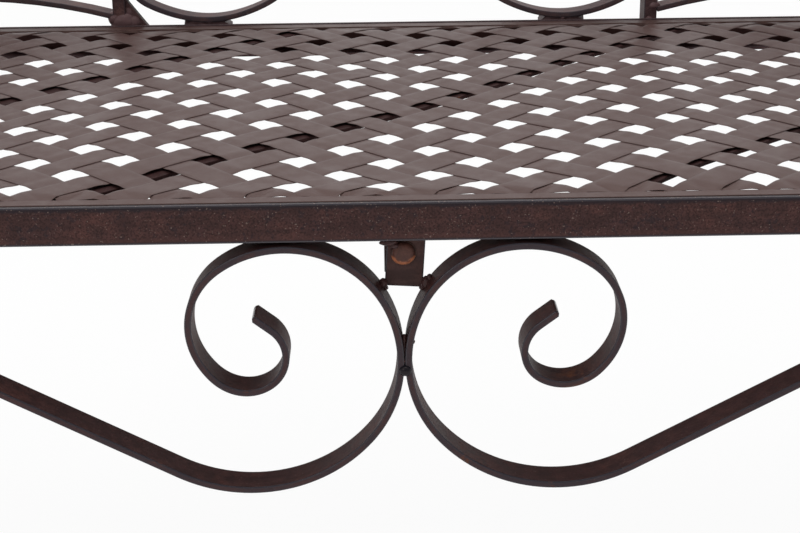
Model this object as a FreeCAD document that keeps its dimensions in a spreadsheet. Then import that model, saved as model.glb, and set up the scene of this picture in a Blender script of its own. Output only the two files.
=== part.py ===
import FreeCAD
import Part
import Sketcher
import math
import os

from FreeCAD import Placement, Rotation, Vector

# Metal garden bench. Its front faces -Y, +Z is up and the feet stand on Z = 0. Right and left are as seen
# from the front, so right is +X. While it is drawn, Y = 0 is the front face of the seat frame. The last
# step moves the origin to the middle of the footprint.

SIZES = [
    # Overall sizes, in millimetres, and the rake in degrees
    ("seat_width", 1080, "outside width of the seat frame"),
    ("seat_depth", 530, "outside depth of the seat frame"),
    ("seat_height", 440, "floor to seat top"),
    ("arm_height", 640, "floor to armrest top"),
    ("back_height", 400, "bottom rail to crest rail at the posts, along the rake"),
    ("rake_angle", 2, "lean of the back from upright, degrees"),
    # Seat frame of angle iron, with the woven panel lying in it
    ("rail_height", 25, "upright leg of the angle iron"),
    ("rail_flange", 25, "flat leg of the angle iron"),
    ("rail_thickness", 3, "wall of the angle iron"),
    ("panel_gap", 1.6, "groove between the angle iron and the panel"),
    ("lip_width", 10, "flat border of the panel"),
    ("lip_thickness", 3, "wall of the panel's border"),
    # Woven straps
    ("strap_width", 25, "width of a strap"),
    ("strap_thickness", 1.5, "thickness of a strap"),
    ("strap_pitch", 41.4, "middle of one strap to the next"),
    ("strap_clearance", 0.3, "play between straps that cross"),
    ("strap_ease", 0.5, "level stretch of a strap past the one it crosses"),
    ("weave_front", 33, "front face to the first row of openings"),
    ("weave_shift", -9, "middle of the bench to the first opening"),
    ("support_width", 22, "bar under the weave"),
    ("support_thickness", 3, "bar under the weave"),
    ("support_start_ratio", 0.0857, "first bar's share of the way across the seat, corner to corner"),
    ("support_step_ratio", 0.2155, "bar to bar, as a share of the same way"),
    # Flat bar of the scrolls
    ("bar_depth", 21.5, "flat bar, front to back"),
    ("bar_thickness", 4.5, "flat bar"),
    ("weld_gap", 0.2, "play at a welded seat"),
    ("scroll_shrink", 0.68, "each inner arc of a scroll to the arc before it"),
    ("scroll_angle", 105, "each inner arc of a scroll, degrees"),
    ("scroll_tip", 9, "straight end of a scroll"),
    # Apron under the front rail
    ("apron_top_gap", 2.7, "front rail to the top of the scrolls"),
    ("apron_reach", 461, "middle of the bench to the apron's end bolts"),
    ("apron_tab", 36, "level end of the apron bar"),
    ("apron_bend", 30, "radius of the bend beside the level end"),
    ("curl_heading", 130.7, "direction of the bar where it leaves the lowest arc, degrees"),
    ("curl_radius_first", 101, "lowest arc"),
    ("curl_radius_second", 84.6, "arc beside the middle"),
    ("curl_radius_third", 70.6, "top arc"),
    ("curl_radius_fourth", 47.8, "outer side of the curl"),
    ("curl_radius_fifth", 29.4, "bottom of the curl"),
    ("curl_radius_sixth", 22.2, "inner end of the curl"),
    ("curl_angle_second", 65.8, "degrees"),
    ("curl_angle_third", 101.2, "degrees"),
    ("curl_angle_fourth", 98.4, "degrees"),
    ("curl_angle_fifth", 75.2, "degrees"),
    ("curl_angle_sixth", 112, "degrees"),
    ("curl_tip", 14.2, "straight end of the curl"),
    ("plate_width", 24, "middle plate of the apron"),
    ("plate_thickness", 3, "middle plate of the apron, and the lug behind it"),
    ("plate_setback", 17.5, "front rail face to the plate"),
    ("bolt_drop", 14, "front rail to the middle bolt"),
    # Fasteners
    ("bolt_diameter", 6, "shank"),
    ("bolt_head", 16, "domed head"),
    ("bolt_dome", 4, "height of the domed head"),
    ("bolt_play", 0.4, "hole over shank"),
    ("bolt_end", 2, "shank past its nut"),
    ("nut_width", 10, "across flats"),
    ("nut_height", 5, "nut"),
    ("nut_room", 1, "nut to the wall beside it"),
    ("seat_bolt_inset", 70, "seat frame's front or back to a bolt in its side"),
    # Side frames of square tube
    ("leg_size", 25, "square tube"),
    ("leg_wall", 2, "wall of the square tube"),
    ("leg_bend", 60, "bend of the rear post"),
    ("post_top", 30, "crest rail's middle to the end of the post"),
    ("cap_height", 5, "foot or cap outside its tube"),
    ("plug_height", 14, "foot or cap inside its tube"),
    ("plug_play", 0.3, "foot or cap in its tube, each side"),
    ("arm_width", 40, "armrest, across"),
    ("arm_thickness", 6, "armrest"),
    ("arm_overhang", 30, "front leg to the start of the armrest's curl"),
    ("arm_curl", 24, "radius of the armrest's curl"),
    ("arm_curl_inside", 14.4, "radius of the curl's inner end"),
    ("arm_curl_angle", 120, "inner end of the armrest's curl, degrees"),
    ("side_tail", 70, "straight end of the scroll under the armrest"),
    ("side_loop_angle", 255, "outer arc of the scroll under the armrest, degrees"),
    # Back
    ("back_rail", 20, "square tube of the bottom and crest rails"),
    ("back_rail_wall", 1.5, "wall of that tube"),
    ("back_rail_rise", -5.5, "seat top up to the bottom rail's top"),
    ("crest_end", 60, "level end of the crest rail"),
    ("crest_angle", 14, "steepest slope of the crest rail, degrees"),
    ("crest_bend", 250, "radius of the crest rail's outer bends"),
    ("back_bar_depth", 25, "flat bar of the back, front to back"),
    ("back_bar_thickness", 5, "flat bar of the back"),
    ("back_shift", -5.5, "middle of the bench to the middle of the back's scrollwork"),
    ("stem_place", 249.5, "middle of the scrollwork to a stem"),
    ("stem_width", 12, "stem"),
    ("scroll_pad_width", 44, "pad between the bottom rail and a scroll"),
    ("scroll_pad_height", 7.1, "pad between the bottom rail and a scroll"),
    ("back_scroll_place", 166.7, "middle of the scrollwork to a scroll's lowest point"),
    ("back_scroll_radius", 100, "lowest arc, outside"),
    ("back_scroll_foot_angle", 35, "outer half of the lowest arc, degrees"),
    ("back_scroll_top_place", 128, "middle of the scrollwork to the upper curl"),
    ("back_scroll_top_radius", 56, "upper curl, outside"),
    ("back_scroll_top_angle", 200, "outer arc of the upper curl, degrees"),
    ("outer_scroll_radius", 78, "lowest arc of an outer scroll, outside"),
    ("outer_scroll_side_radius", 47, "outer side of an outer scroll's lower curl"),
    ("outer_scroll_lean", 5, "middle of an outer bay to the outer scroll's upper curl"),
    ("outer_scroll_top_radius", 48, "upper curl of an outer scroll, outside"),
    ("arch_lift", 11.2, "bottom rail to the ends of the low arch"),
    ("arch_rise", 18.7, "rise of the low arch"),
    ("stay_reach", 22.7, "foot of the stay from the stem"),
    ("stay_height", 29.7, "top of the stay over the bottom rail"),
    ("stay_width", 5.5, "stay, along the bottom rail"),
    ("stay_depth", 8, "stay, front to back"),
]

doc = FreeCAD.newDocument("garden_bench")
sheet = doc.addObject("Spreadsheet::Sheet", "sizes")
for row, (alias, number, words) in enumerate(SIZES, start=1):
    sheet.set(f"A{row}", alias)
    sheet.set(f"B{row}", str(number))
    sheet.setAlias(f"B{row}", alias)
    sheet.set(f"C{row}", words)
doc.recompute()


def size(alias):
    return float(sheet.get(alias))


# Places worked out from the sizes
rail_bottom = size("seat_height") - size("rail_height")
half_width = size("seat_width") / 2
leg_middle = half_width + size("leg_size") / 2
arm_under = size("arm_height") - size("arm_thickness")
panel_edge = size("rail_thickness") + size("panel_gap")
lip_inside = panel_edge + size("lip_width")
bolt_hole = size("bolt_diameter") + size("bolt_play")
seat_bolt_level = size("seat_height") - size("rail_height") / 2
pivot_level = size("seat_height") + size("back_rail_rise") - size("back_rail") / 2
pivot_depth = size("seat_depth") + size("leg_size") / 2
MIRROR = {"left": -1, "right": 1}
UPRIGHT = Rotation(Vector(1, 0, 0), 90)
SIDEWAYS = Rotation(Vector(1, 1, 1), 120)
SUPPORTS = 4
SIDE_CURL_ARCS = 3
BACK_CURL_ARCS = 2

parts = []


# Sketched pieces

def new_body(label):
    body = doc.addObject("PartDesign::Body", label)
    body.Label = label
    parts.append(body)
    return body


def new_sketch(body, role, name):
    plane = next(item for item in body.Origin.OriginFeatures if item.Role == role)
    sketch = body.newObject("Sketcher::SketchObject", name)
    sketch.AttachmentSupport = (plane, [""])
    sketch.MapMode = "FlatFace"
    return sketch


def hold(sketch, kind, geometry, end, text):
    number = float(sketch.evalExpression(text))
    place = sketch.addConstraint(Sketcher.Constraint(kind, -1, 1, geometry, end, number))
    sketch.setExpression(f"Constraints[{place}]", text)


def draw_outline(sketch, corners):
    """A closed outline, each corner given as a pair of expressions."""
    first = sketch.GeometryCount
    points = []
    for across, up in corners:
        points.append(Vector(float(sketch.evalExpression(across)), float(sketch.evalExpression(up)), 0))
    count = len(points)
    for index in range(count):
        sketch.addGeometry(Part.LineSegment(points[index], points[(index + 1) % count]))
    for index in range(count):
        follower = first + (index + 1) % count
        sketch.addConstraint(Sketcher.Constraint("Coincident", first + index, 2, follower, 1))
    for index, (across, up) in enumerate(corners):
        hold(sketch, "DistanceX", first + index, 1, across)
        hold(sketch, "DistanceY", first + index, 1, up)


def draw_square(sketch, text):
    """A square of the given side, its middle on the sketch's origin."""
    half = f"({text}) / 2"
    minus = f"-({text}) / 2"
    draw_outline(sketch, [(minus, minus), (half, minus), (half, half), (minus, half)])


def draw_hole(sketch, across, up):
    """A bolt hole, its middle given as a pair of expressions."""
    middle = Vector(float(sketch.evalExpression(across)), float(sketch.evalExpression(up)), 0)
    ring = sketch.addGeometry(Part.Circle(middle, Vector(0, 0, 1), bolt_hole / 2))
    hold(sketch, "DistanceX", ring, 3, across)
    hold(sketch, "DistanceY", ring, 3, up)
    place = sketch.addConstraint(Sketcher.Constraint("Diameter", ring, bolt_hole))
    sketch.setExpression(f"Constraints[{place}]", "sizes.bolt_diameter + sizes.bolt_play")


def pad(body, sketch, text):
    feature = body.newObject("PartDesign::Pad", f"{sketch.Name}_pad")
    feature.Profile = sketch
    feature.setExpression("Length", text)
    doc.recompute()
    return feature


def pocket_through(body, sketch):
    before = body.Shape.Volume
    feature = body.newObject("PartDesign::Pocket", f"{sketch.Name}_pocket")
    feature.Profile = sketch
    feature.Type = "ThroughAll"
    doc.recompute()
    if body.Shape.Volume >= before:
        raise ValueError(f"{body.Label}: the holes cut nothing")


def place_body(body, rotation, across, depth, level):
    body.Placement = Placement(Vector(0, 0, 0), rotation)
    for axis, text in (("x", across), ("y", depth), ("z", level)):
        body.setExpression(f"Placement.Base.{axis}", text)


# Bars bent along tangent lines and arcs

class Stroke:
    """A chain of tangent lines and arcs in a plane. A positive turn is to the left."""

    def __init__(self, point, heading):
        self.point = point
        self.heading = heading
        self.pieces = []

    def line(self, length):
        end = self.point + along(self.heading) * length
        self.pieces.append(("line", self.point, end, None, 0))
        self.point = end
        return self

    def arc(self, radius, turn):
        side = math.copysign(1, turn)
        centre = self.point + along(self.heading + 90 * side) * radius
        end = centre - along(self.heading + turn + 90 * side) * radius
        self.pieces.append(("arc", self.point, end, centre, turn))
        self.point = end
        self.heading += turn
        return self

    def curl(self, radius, side, arcs):
        """Arcs that tighten from the radius, to the left or right, then a straight tip."""
        for _ in range(arcs):
            radius *= size("scroll_shrink")
            self.arc(radius, side * size("scroll_angle"))
        return self.line(size("scroll_tip"))

    def reversed_pieces(self):
        pieces = []
        for kind, start, end, centre, turn in reversed(self.pieces):
            pieces.append((kind, end, start, centre, -turn))
        return pieces


def along(heading):
    angle = math.radians(heading)
    return Vector(math.cos(angle), math.sin(angle), 0)


def turned(point, centre, degrees):
    return centre + Rotation(Vector(0, 0, 1), degrees).multVec(point - centre)


def beside(point, centre, offset, turn):
    """The point moved away from the arc's middle, or towards it on a left turn."""
    outward = (point - centre).normalize()
    return point - outward * offset * math.copysign(1, turn)


def edge_beside(piece, offset):
    """The piece's line or arc, moved to its left by the offset."""
    kind, start, end, centre, turn = piece
    if kind == "line":
        shift = Rotation(Vector(0, 0, 1), 90).multVec((end - start).normalize()) * offset
        return Part.LineSegment(start + shift, end + shift).toShape()
    middle = turned(start, centre, turn / 2)
    points = [beside(point, centre, offset, turn) for point in (start, middle, end)]
    return Part.Arc(*points).toShape()


def bar(pieces, thickness, depth):
    """A flat bar that follows the pieces, its depth along +Z."""
    left = [edge_beside(piece, thickness / 2) for piece in pieces]
    right = [edge_beside(piece, -thickness / 2) for piece in pieces]
    ends = [
        Part.LineSegment(end_of(pieces, thickness / 2, at), end_of(pieces, -thickness / 2, at)).toShape()
        for at in (0, -1)
    ]
    outline = Part.Wire(Part.__sortEdges__(left + right + ends))
    return Part.Face(outline).extrude(Vector(0, 0, depth))


def end_of(pieces, offset, at):
    """The corner at the first or last end of a bar."""
    kind, start, end, centre, turn = pieces[at]
    point = start if at == 0 else end
    if kind == "line":
        return point + Rotation(Vector(0, 0, 1), 90).multVec((end - start).normalize()) * offset
    return beside(point, centre, offset, turn)


def add_shape(label, shape, placement=Placement()):
    if len(shape.Solids) == 1:
        shape = shape.Solids[0]
    feature = doc.addObject("Part::Feature", label)
    feature.Label = label
    feature.Shape = shape
    feature.Placement = placement.multiply(shape.Placement)
    parts.append(feature)
    return feature


def across_x(shape):
    """The shape's mirror image on the other side of the bench."""
    return shape.mirror(Vector(0, 0, 0), Vector(1, 0, 0))


# Seat frame and the border of the woven panel, both mitred at the corners

def mitred_angle(label, length, inset, flange, upright, thickness, flange_on_top, bolted, flange_holes=()):
    """An angle iron along X whose outer face is on Y = 0."""
    body = new_body(label)
    half = f"({length}) / 2 - ({inset})"
    for name, depth, tall in (("flange", flange, thickness), ("upright", thickness, upright)):
        sketch = new_sketch(body, "XY_Plane", f"{label}_{name}")
        if name == "flange" and flange_on_top:
            sketch.setExpression("AttachmentOffset.Base.z", f"({upright}) - ({thickness})")
            doc.recompute()
        draw_outline(sketch, [
            (f"-({half})", "0"),
            (half, "0"),
            (f"{half} - ({depth})", depth),
            (f"-({half}) + ({depth})", depth),
        ])
        if name == "flange":
            for across, deep in flange_holes:
                draw_hole(sketch, across, deep)
        pad(body, sketch, tall)
    if bolted:
        holes = new_sketch(body, "XZ_Plane", f"{label}_holes")
        for sign in ("-", ""):
            draw_hole(holes, f"{sign}(({length}) / 2 - sizes.seat_bolt_inset)", bolted)
        pocket_through(body, holes)
    return body


def seat_sides():
    """Each side's name, its length, its turn about Z and the place of its middle."""
    yield "front", "sizes.seat_width", 0, "0", "0"
    yield "right", "sizes.seat_depth", 90, "sizes.seat_width / 2", "sizes.seat_depth / 2"
    yield "back", "sizes.seat_width", 180, "0", "sizes.seat_depth"
    yield "left", "sizes.seat_depth", 270, "-sizes.seat_width / 2", "sizes.seat_depth / 2"


APRON_BOLT_DEPTH = (
    "sizes.rail_thickness + sizes.panel_gap + sizes.lip_thickness + sizes.nut_width / 2 + sizes.nut_room")
APRON_HOLES = [("-sizes.apron_reach", APRON_BOLT_DEPTH), ("sizes.apron_reach", APRON_BOLT_DEPTH)]


def build_seat_frame():
    edge = "(sizes.rail_thickness + sizes.panel_gap)"
    for name, length, turn, across, depth in seat_sides():
        side = turn in (90, 270)
        facing = Rotation(Vector(0, 0, 1), turn)
        rail = mitred_angle(
            f"seat_rail_{name}", length, "0", "sizes.rail_flange", "sizes.rail_height",
            "sizes.rail_thickness", False, "sizes.rail_height / 2" if side else None,
            APRON_HOLES if name == "front" else ())
        place_body(rail, facing, across, depth, "sizes.seat_height - sizes.rail_height")
        inward = facing.multVec(Vector(0, 1, 0))
        border = mitred_angle(
            f"seat_edge_{name}", length, edge, "sizes.lip_width",
            "sizes.rail_height - sizes.rail_thickness", "sizes.lip_thickness", True,
            "sizes.rail_height / 2 - sizes.rail_thickness" if side else None)
        place_body(
            border, facing,
            f"{across} + {round(inward.x)} * {edge}",
            f"{depth} + {round(inward.y)} * {edge}",
            "sizes.seat_height - sizes.rail_height + sizes.rail_thickness")


# Woven straps and the bars under them

def seat_opening(inset, low, high):
    """A block that fills the seat frame, inset from its outside."""
    wide = size("seat_width") - 2 * inset
    deep = size("seat_depth") - 2 * inset
    return Part.makeBox(wide, deep, high - low, Vector(-wide / 2, inset, low))


def span_inside(middle, facing, offset, box):
    """Where a line across the seat runs inside the box, measured along it from its middle."""
    direction = facing.multVec(Vector(1, 0, 0))
    start = middle + facing.multVec(Vector(0, offset, 0))
    across = sorted(((box.XMin - start.x) / direction.x, (box.XMax - start.x) / direction.x))
    deep = sorted(((box.YMin - start.y) / direction.y, (box.YMax - start.y) / direction.y))
    return max(across[0], deep[0]), min(across[1], deep[1])


def woven_strap(lane, rising, first, last):
    """One strap, up and down over the straps that it crosses, before its ends are cut."""
    pitch = size("strap_pitch")
    thickness = size("strap_thickness")
    level = size("strap_width") / 2 + size("strap_ease")
    wave = (thickness + size("strap_clearance")) / 2
    top = []
    bottom = []
    for crossing in range(first, last + 1, 2):
        column = (crossing - lane) // 2 if rising else (crossing + lane) // 2
        over = (column % 2 == 1) == rising
        height = wave if over else -wave
        for place in (crossing * pitch / 2 - level, crossing * pitch / 2 + level):
            top.append(Vector(place, 0, height + thickness / 2))
            bottom.append(Vector(place, 0, height - thickness / 2))
    corners = top + bottom[::-1]
    outline = Part.makePolygon(corners + corners[:1])
    strap = Part.Face(outline).extrude(Vector(0, size("strap_width"), 0))
    strap.translate(Vector(0, lane * pitch / 2 - size("strap_width") / 2, 0))
    return strap


def odd_below(number):
    return 2 * math.floor((number - 1) / 2) + 1


def build_straps():
    pitch = size("strap_pitch")
    thick = size("strap_clearance") + 2 * size("strap_thickness")
    middle = Vector(size("weave_shift"), size("weave_front"), size("seat_height") - thick / 2)
    opening = seat_opening(
        lip_inside + size("weld_gap"), size("seat_height") - thick, size("seat_height"))
    reach = odd_below(2 * (size("seat_width") + size("seat_depth")) / pitch)
    for label, rising in (("seat_straps_rising", True), ("seat_straps_falling", False)):
        facing = Rotation(Vector(0, 0, 1), 45 if rising else -45)
        straps = []
        for lane in range(-reach, reach + 1, 2):
            low, high = span_inside(middle, facing, lane * pitch / 2, opening.BoundBox)
            if high - low < size("strap_width"):
                continue
            first = odd_below((low - size("strap_width")) * 2 / pitch) - 2
            last = odd_below((high + size("strap_width")) * 2 / pitch) + 2
            strap = woven_strap(lane, rising, first, last)
            strap.Placement = Placement(middle, facing).multiply(strap.Placement)
            straps += strap.common(opening).Solids
        add_shape(label, Part.makeCompound(straps))


def build_supports():
    wide = size("support_width")
    thick = size("support_thickness")
    under = size("seat_height") - size("strap_clearance") - 2 * size("strap_thickness")
    low = under - thick
    opening = seat_opening(panel_edge + size("lip_thickness") + size("weld_gap"), low, under)
    across = size("seat_width") + size("seat_depth")
    corner = Placement(
        Vector(-half_width, size("seat_depth"), low), Rotation(Vector(0, 0, 1), -45))
    for index in range(SUPPORTS):
        share = size("support_start_ratio") + index * size("support_step_ratio")
        middle = share * across / math.sqrt(2)
        strip = Part.makeBox(wide, 2 * across, thick, Vector(middle - wide / 2, -across, 0))
        strip.Placement = corner.multiply(strip.Placement)
        add_shape(f"seat_support_bar_{index + 1}", strip.common(opening))


# Fasteners

def carriage_bolt(length):
    """A bolt along +Z, the underside of its domed head on Z = 0."""
    shank = size("bolt_diameter") / 2
    rim = size("bolt_head") / 2
    dome = size("bolt_dome")
    sphere = (rim ** 2 + dome ** 2) / (2 * dome)
    half = math.asin(rim / sphere) / 2
    crown = Part.Arc(
        Vector(0, 0, -dome),
        Vector(sphere * math.sin(half), 0, sphere - dome - sphere * math.cos(half)),
        Vector(rim, 0, 0)).toShape()
    sides = Part.makePolygon([
        Vector(rim, 0, 0), Vector(shank, 0, 0), Vector(shank, 0, length),
        Vector(0, 0, length), Vector(0, 0, -dome)])
    profile = Part.Face(Part.Wire([crown] + sides.Edges))
    return profile.revolve(Vector(0, 0, 0), Vector(0, 0, 1), 360)


def hex_nut():
    """A nut along +Z that stands on Z = 0."""
    corner = size("nut_width") / 2 / math.cos(math.radians(30))
    corners = [Vector(along(60 * index)) * corner for index in range(7)]
    blank = Part.Face(Part.makePolygon(corners)).extrude(Vector(0, 0, size("nut_height")))
    bore = Part.makeCylinder(bolt_hole / 2, size("nut_height"))
    return blank.cut(bore)


def put(shape, place, axis):
    """The shape with its +Z along the axis and its origin at the place."""
    copy = shape.copy()
    copy.Placement = Placement(place, Rotation(Vector(0, 0, 1), axis)).multiply(copy.Placement)
    return copy


def hole(place, axis, length):
    """A block that cuts a bolt hole both ways from the place."""
    return put(
        Part.makeCylinder(bolt_hole / 2, 2 * length, Vector(0, 0, -length)), place, axis)


def build_seat_bolts():
    outside = half_width + size("leg_size")
    inside = half_width - panel_edge - size("lip_thickness")
    length = outside - inside + size("nut_height") + size("bolt_end")
    bolts = []
    nuts = []
    for sign in MIRROR.values():
        inward = Vector(-sign, 0, 0)
        for depth in (size("seat_bolt_inset"), size("seat_depth") - size("seat_bolt_inset")):
            bolts.append(put(carriage_bolt(length), Vector(sign * outside, depth, seat_bolt_level), inward))
            nuts.append(put(hex_nut(), Vector(sign * inside, depth, seat_bolt_level), inward))
    add_shape("seat_bolts", Part.makeCompound(bolts))
    add_shape("seat_nuts", Part.makeCompound(nuts))


# Apron: two scrolls, a plate that joins them, and a lug on the front rail that carries the plate

CURL_ARCS = ("first", "second", "third", "fourth", "fifth", "sixth")


def apron_layout():
    """The right scroll's stroke, and the middle of its top arc."""
    half_bar = size("bar_thickness") / 2
    radius = {name: size(f"curl_radius_{name}") for name in CURL_ARCS}
    curl = Stroke(Vector(0, 0, 0), size("curl_heading"))
    for name in CURL_ARCS[1:]:
        curl.arc(radius[name], -size(f"curl_angle_{name}"))
    curl.line(size("curl_tip"))
    second = curl.pieces[0][3]
    third = curl.pieces[1][3]
    shift = Vector(
        size("weld_gap") + half_bar + radius["second"] - second.x,
        rail_bottom - size("apron_top_gap") - half_bar - radius["third"] - third.y, 0)
    first = shift + along(size("curl_heading") - 90) * radius["first"]
    level = rail_bottom - half_bar
    bend = Vector(size("apron_reach") - size("apron_tab") / 2, level - size("apron_bend"), 0)
    heading = tangent_heading(bend, first, size("apron_bend") + radius["first"])
    run = math.sqrt((first - bend).Length ** 2 - (size("apron_bend") + radius["first"]) ** 2)
    stroke = Stroke(Vector(size("apron_reach") + size("apron_tab") / 2, level, 0), 180)
    stroke.line(size("apron_tab"))
    stroke.arc(size("apron_bend"), heading - 180)
    stroke.line(run)
    stroke.arc(radius["first"], size("curl_heading") - heading)
    for name in CURL_ARCS[1:]:
        stroke.arc(radius[name], -size(f"curl_angle_{name}"))
    stroke.line(size("curl_tip"))
    return stroke, third + shift


def tangent_heading(start, end, reach):
    """Direction of a line that passes start on its left and end on its right, reach apart in all."""
    span = end - start
    return math.degrees(math.atan2(span.y, span.x) + math.asin(reach / span.Length)) % 360


def build_apron():
    stroke, top_arc = apron_layout()
    depth = size("bar_depth")
    bolt_depth = float(sheet.evalExpression(APRON_BOLT_DEPTH))
    end = Vector(size("apron_reach"), bolt_depth, rail_bottom)
    scroll = bar(stroke.pieces, size("bar_thickness"), depth)
    scroll.Placement = Placement(Vector(0, depth, 0), UPRIGHT)
    scroll = scroll.cut(hole(end, Vector(0, 0, 1), size("bar_thickness") * 2))
    add_shape("apron_scroll_right", scroll)
    add_shape("apron_scroll_left", across_x(scroll))

    # The plate hangs between the scrolls and its lower corners stand on them
    outside = size("curl_radius_third") + size("bar_thickness") / 2 + size("weld_gap")
    lowest = top_arc.y + math.sqrt(outside ** 2 - (top_arc.x - size("plate_width") / 2) ** 2)
    top = rail_bottom - size("weld_gap")
    plate = new_body("apron_plate")
    outline = new_sketch(plate, "XY_Plane", "apron_plate_outline")
    wide = "sizes.plate_width / 2"
    draw_outline(outline, [
        (f"-{wide}", str(lowest)), (wide, str(lowest)), (wide, str(top)), (f"-{wide}", str(top))])
    draw_hole(outline, "0", "sizes.seat_height - sizes.rail_height - sizes.bolt_drop")
    pad(plate, outline, "sizes.plate_thickness")
    place_body(plate, UPRIGHT, "0", "sizes.plate_setback + sizes.plate_thickness", "0")

    # The lug is a flat strip behind the plate, its upper end under the rail's flange
    thick = size("plate_thickness")
    front = size("plate_setback") + thick
    wide = size("plate_width")
    tall = 2 * size("bolt_drop")
    lug = Part.makeBox(wide, thick, tall, Vector(-wide / 2, front, top - tall))
    middle = Vector(0, front, rail_bottom - size("bolt_drop"))
    add_shape("apron_lug", lug.cut(hole(middle, Vector(0, 1, 0), front)))

    head = Vector(0, size("plate_setback"), middle.z)
    length = 2 * thick + size("nut_height") + size("bolt_end")
    add_shape("apron_bolt", put(carriage_bolt(length), head, Vector(0, 1, 0)))
    add_shape("apron_nut", put(hex_nut(), head + Vector(0, 2 * thick, 0), Vector(0, 1, 0)))

    stack = size("bar_thickness") + size("rail_thickness")
    length = stack + size("nut_height") + size("bolt_end")
    bolts = []
    nuts = []
    for sign in MIRROR.values():
        under = Vector(sign * end.x, end.y, end.z - size("bar_thickness"))
        bolts.append(put(carriage_bolt(length), under, Vector(0, 0, 1)))
        nuts.append(put(hex_nut(), under + Vector(0, 0, stack), Vector(0, 0, 1)))
    add_shape("apron_end_bolts", Part.makeCompound(bolts))
    add_shape("apron_end_nuts", Part.makeCompound(nuts))


# Side frames: legs, posts, the beams that the seat is bolted to, and armrests

BACK = Placement(
    Vector(0, pivot_depth, pivot_level), Rotation(Vector(1, 0, 0), 90 - size("rake_angle")))


def tube_body(label, outside, wall, length):
    """A square tube along +Z, its middle on the origin."""
    body = new_body(label)
    ring = new_sketch(body, "XY_Plane", f"{label}_ring")
    draw_square(ring, outside)
    draw_square(ring, f"{outside} - 2 * {wall}")
    pad(body, ring, length)
    return body


def plug_body(label):
    """A foot or cap: a square plate under a plug that fits in the tube."""
    body = new_body(label)
    plug = new_sketch(body, "XY_Plane", f"{label}_plug")
    draw_square(plug, "sizes.leg_size - 2 * sizes.leg_wall - 2 * sizes.plug_play")
    pad(body, plug, "sizes.cap_height + sizes.plug_height")
    plate = new_sketch(body, "XY_Plane", f"{label}_plate")
    draw_square(plate, "sizes.leg_size")
    pad(body, plate, "sizes.cap_height")
    return body


def rear_post_stroke():
    tangent = size("leg_bend") * math.tan(math.radians(size("rake_angle") / 2))
    stroke = Stroke(Vector(pivot_depth, size("cap_height"), 0), 90)
    stroke.line(pivot_level - size("cap_height") - tangent)
    stroke.arc(size("leg_bend"), -size("rake_angle"))
    return stroke.line(size("back_height") + size("post_top") - tangent)


def hollow_bar(pieces, outside, wall):
    """A square tube that follows the pieces, its middle on Z = 0."""
    tube = bar(pieces, outside, outside)
    tube.translate(Vector(0, 0, -outside / 2))
    inside = outside - 2 * wall
    core = bar(pieces, inside, inside)
    core.translate(Vector(0, 0, -inside / 2))
    return tube.cut(core)


def build_side_frames():
    for side, sign in MIRROR.items():
        flip = "" if sign > 0 else "-"
        middle = f"{flip}(sizes.seat_width + sizes.leg_size) / 2"
        leg = tube_body(
            f"front_leg_{side}", "sizes.leg_size", "sizes.leg_wall",
            "sizes.arm_height - sizes.arm_thickness - sizes.cap_height")
        place_body(leg, Rotation(), middle, "sizes.leg_size / 2", "sizes.cap_height")

        post = hollow_bar(rear_post_stroke().pieces, size("leg_size"), size("leg_wall"))
        post.Placement = Placement(Vector(sign * leg_middle, 0, 0), SIDEWAYS)
        for level in (0, size("back_height")):
            place = BACK.multVec(Vector(sign * leg_middle, level, 0))
            post = post.cut(hole(place, Vector(1, 0, 0), size("leg_size")))
        add_shape(f"rear_post_{side}", post)

        beam = tube_body(
            f"side_beam_{side}", "sizes.leg_size", "sizes.leg_wall", "sizes.seat_depth - sizes.leg_size")
        holes = new_sketch(beam, "YZ_Plane", f"side_beam_{side}_holes")
        holes.setExpression("AttachmentOffset.Base.z", "sizes.leg_size / 2")
        doc.recompute()
        for depth in ("sizes.seat_bolt_inset", "sizes.seat_depth - sizes.seat_bolt_inset"):
            draw_hole(holes, "sizes.leg_size / 2 - sizes.rail_height / 2", f"{depth} - sizes.leg_size")
        pocket_through(beam, holes)
        place_body(
            beam, Rotation(Vector(1, 0, 0), -90), middle, "sizes.leg_size",
            "sizes.seat_height - sizes.leg_size / 2")

        rear = "sizes.seat_depth + sizes.leg_size / 2"
        for end, depth in (("front", "sizes.leg_size / 2"), ("rear", rear)):
            foot = plug_body(f"foot_{end}_{side}")
            place_body(foot, Rotation(), middle, depth, "0")
        cap = plug_body(f"post_cap_{side}")
        top = Vector(sign * leg_middle, size("back_height") + size("post_top") + size("cap_height"), 0)
        cap.Placement = BACK.multiply(Placement(top, Rotation(Vector(1, 0, 0), 90)))


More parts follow.
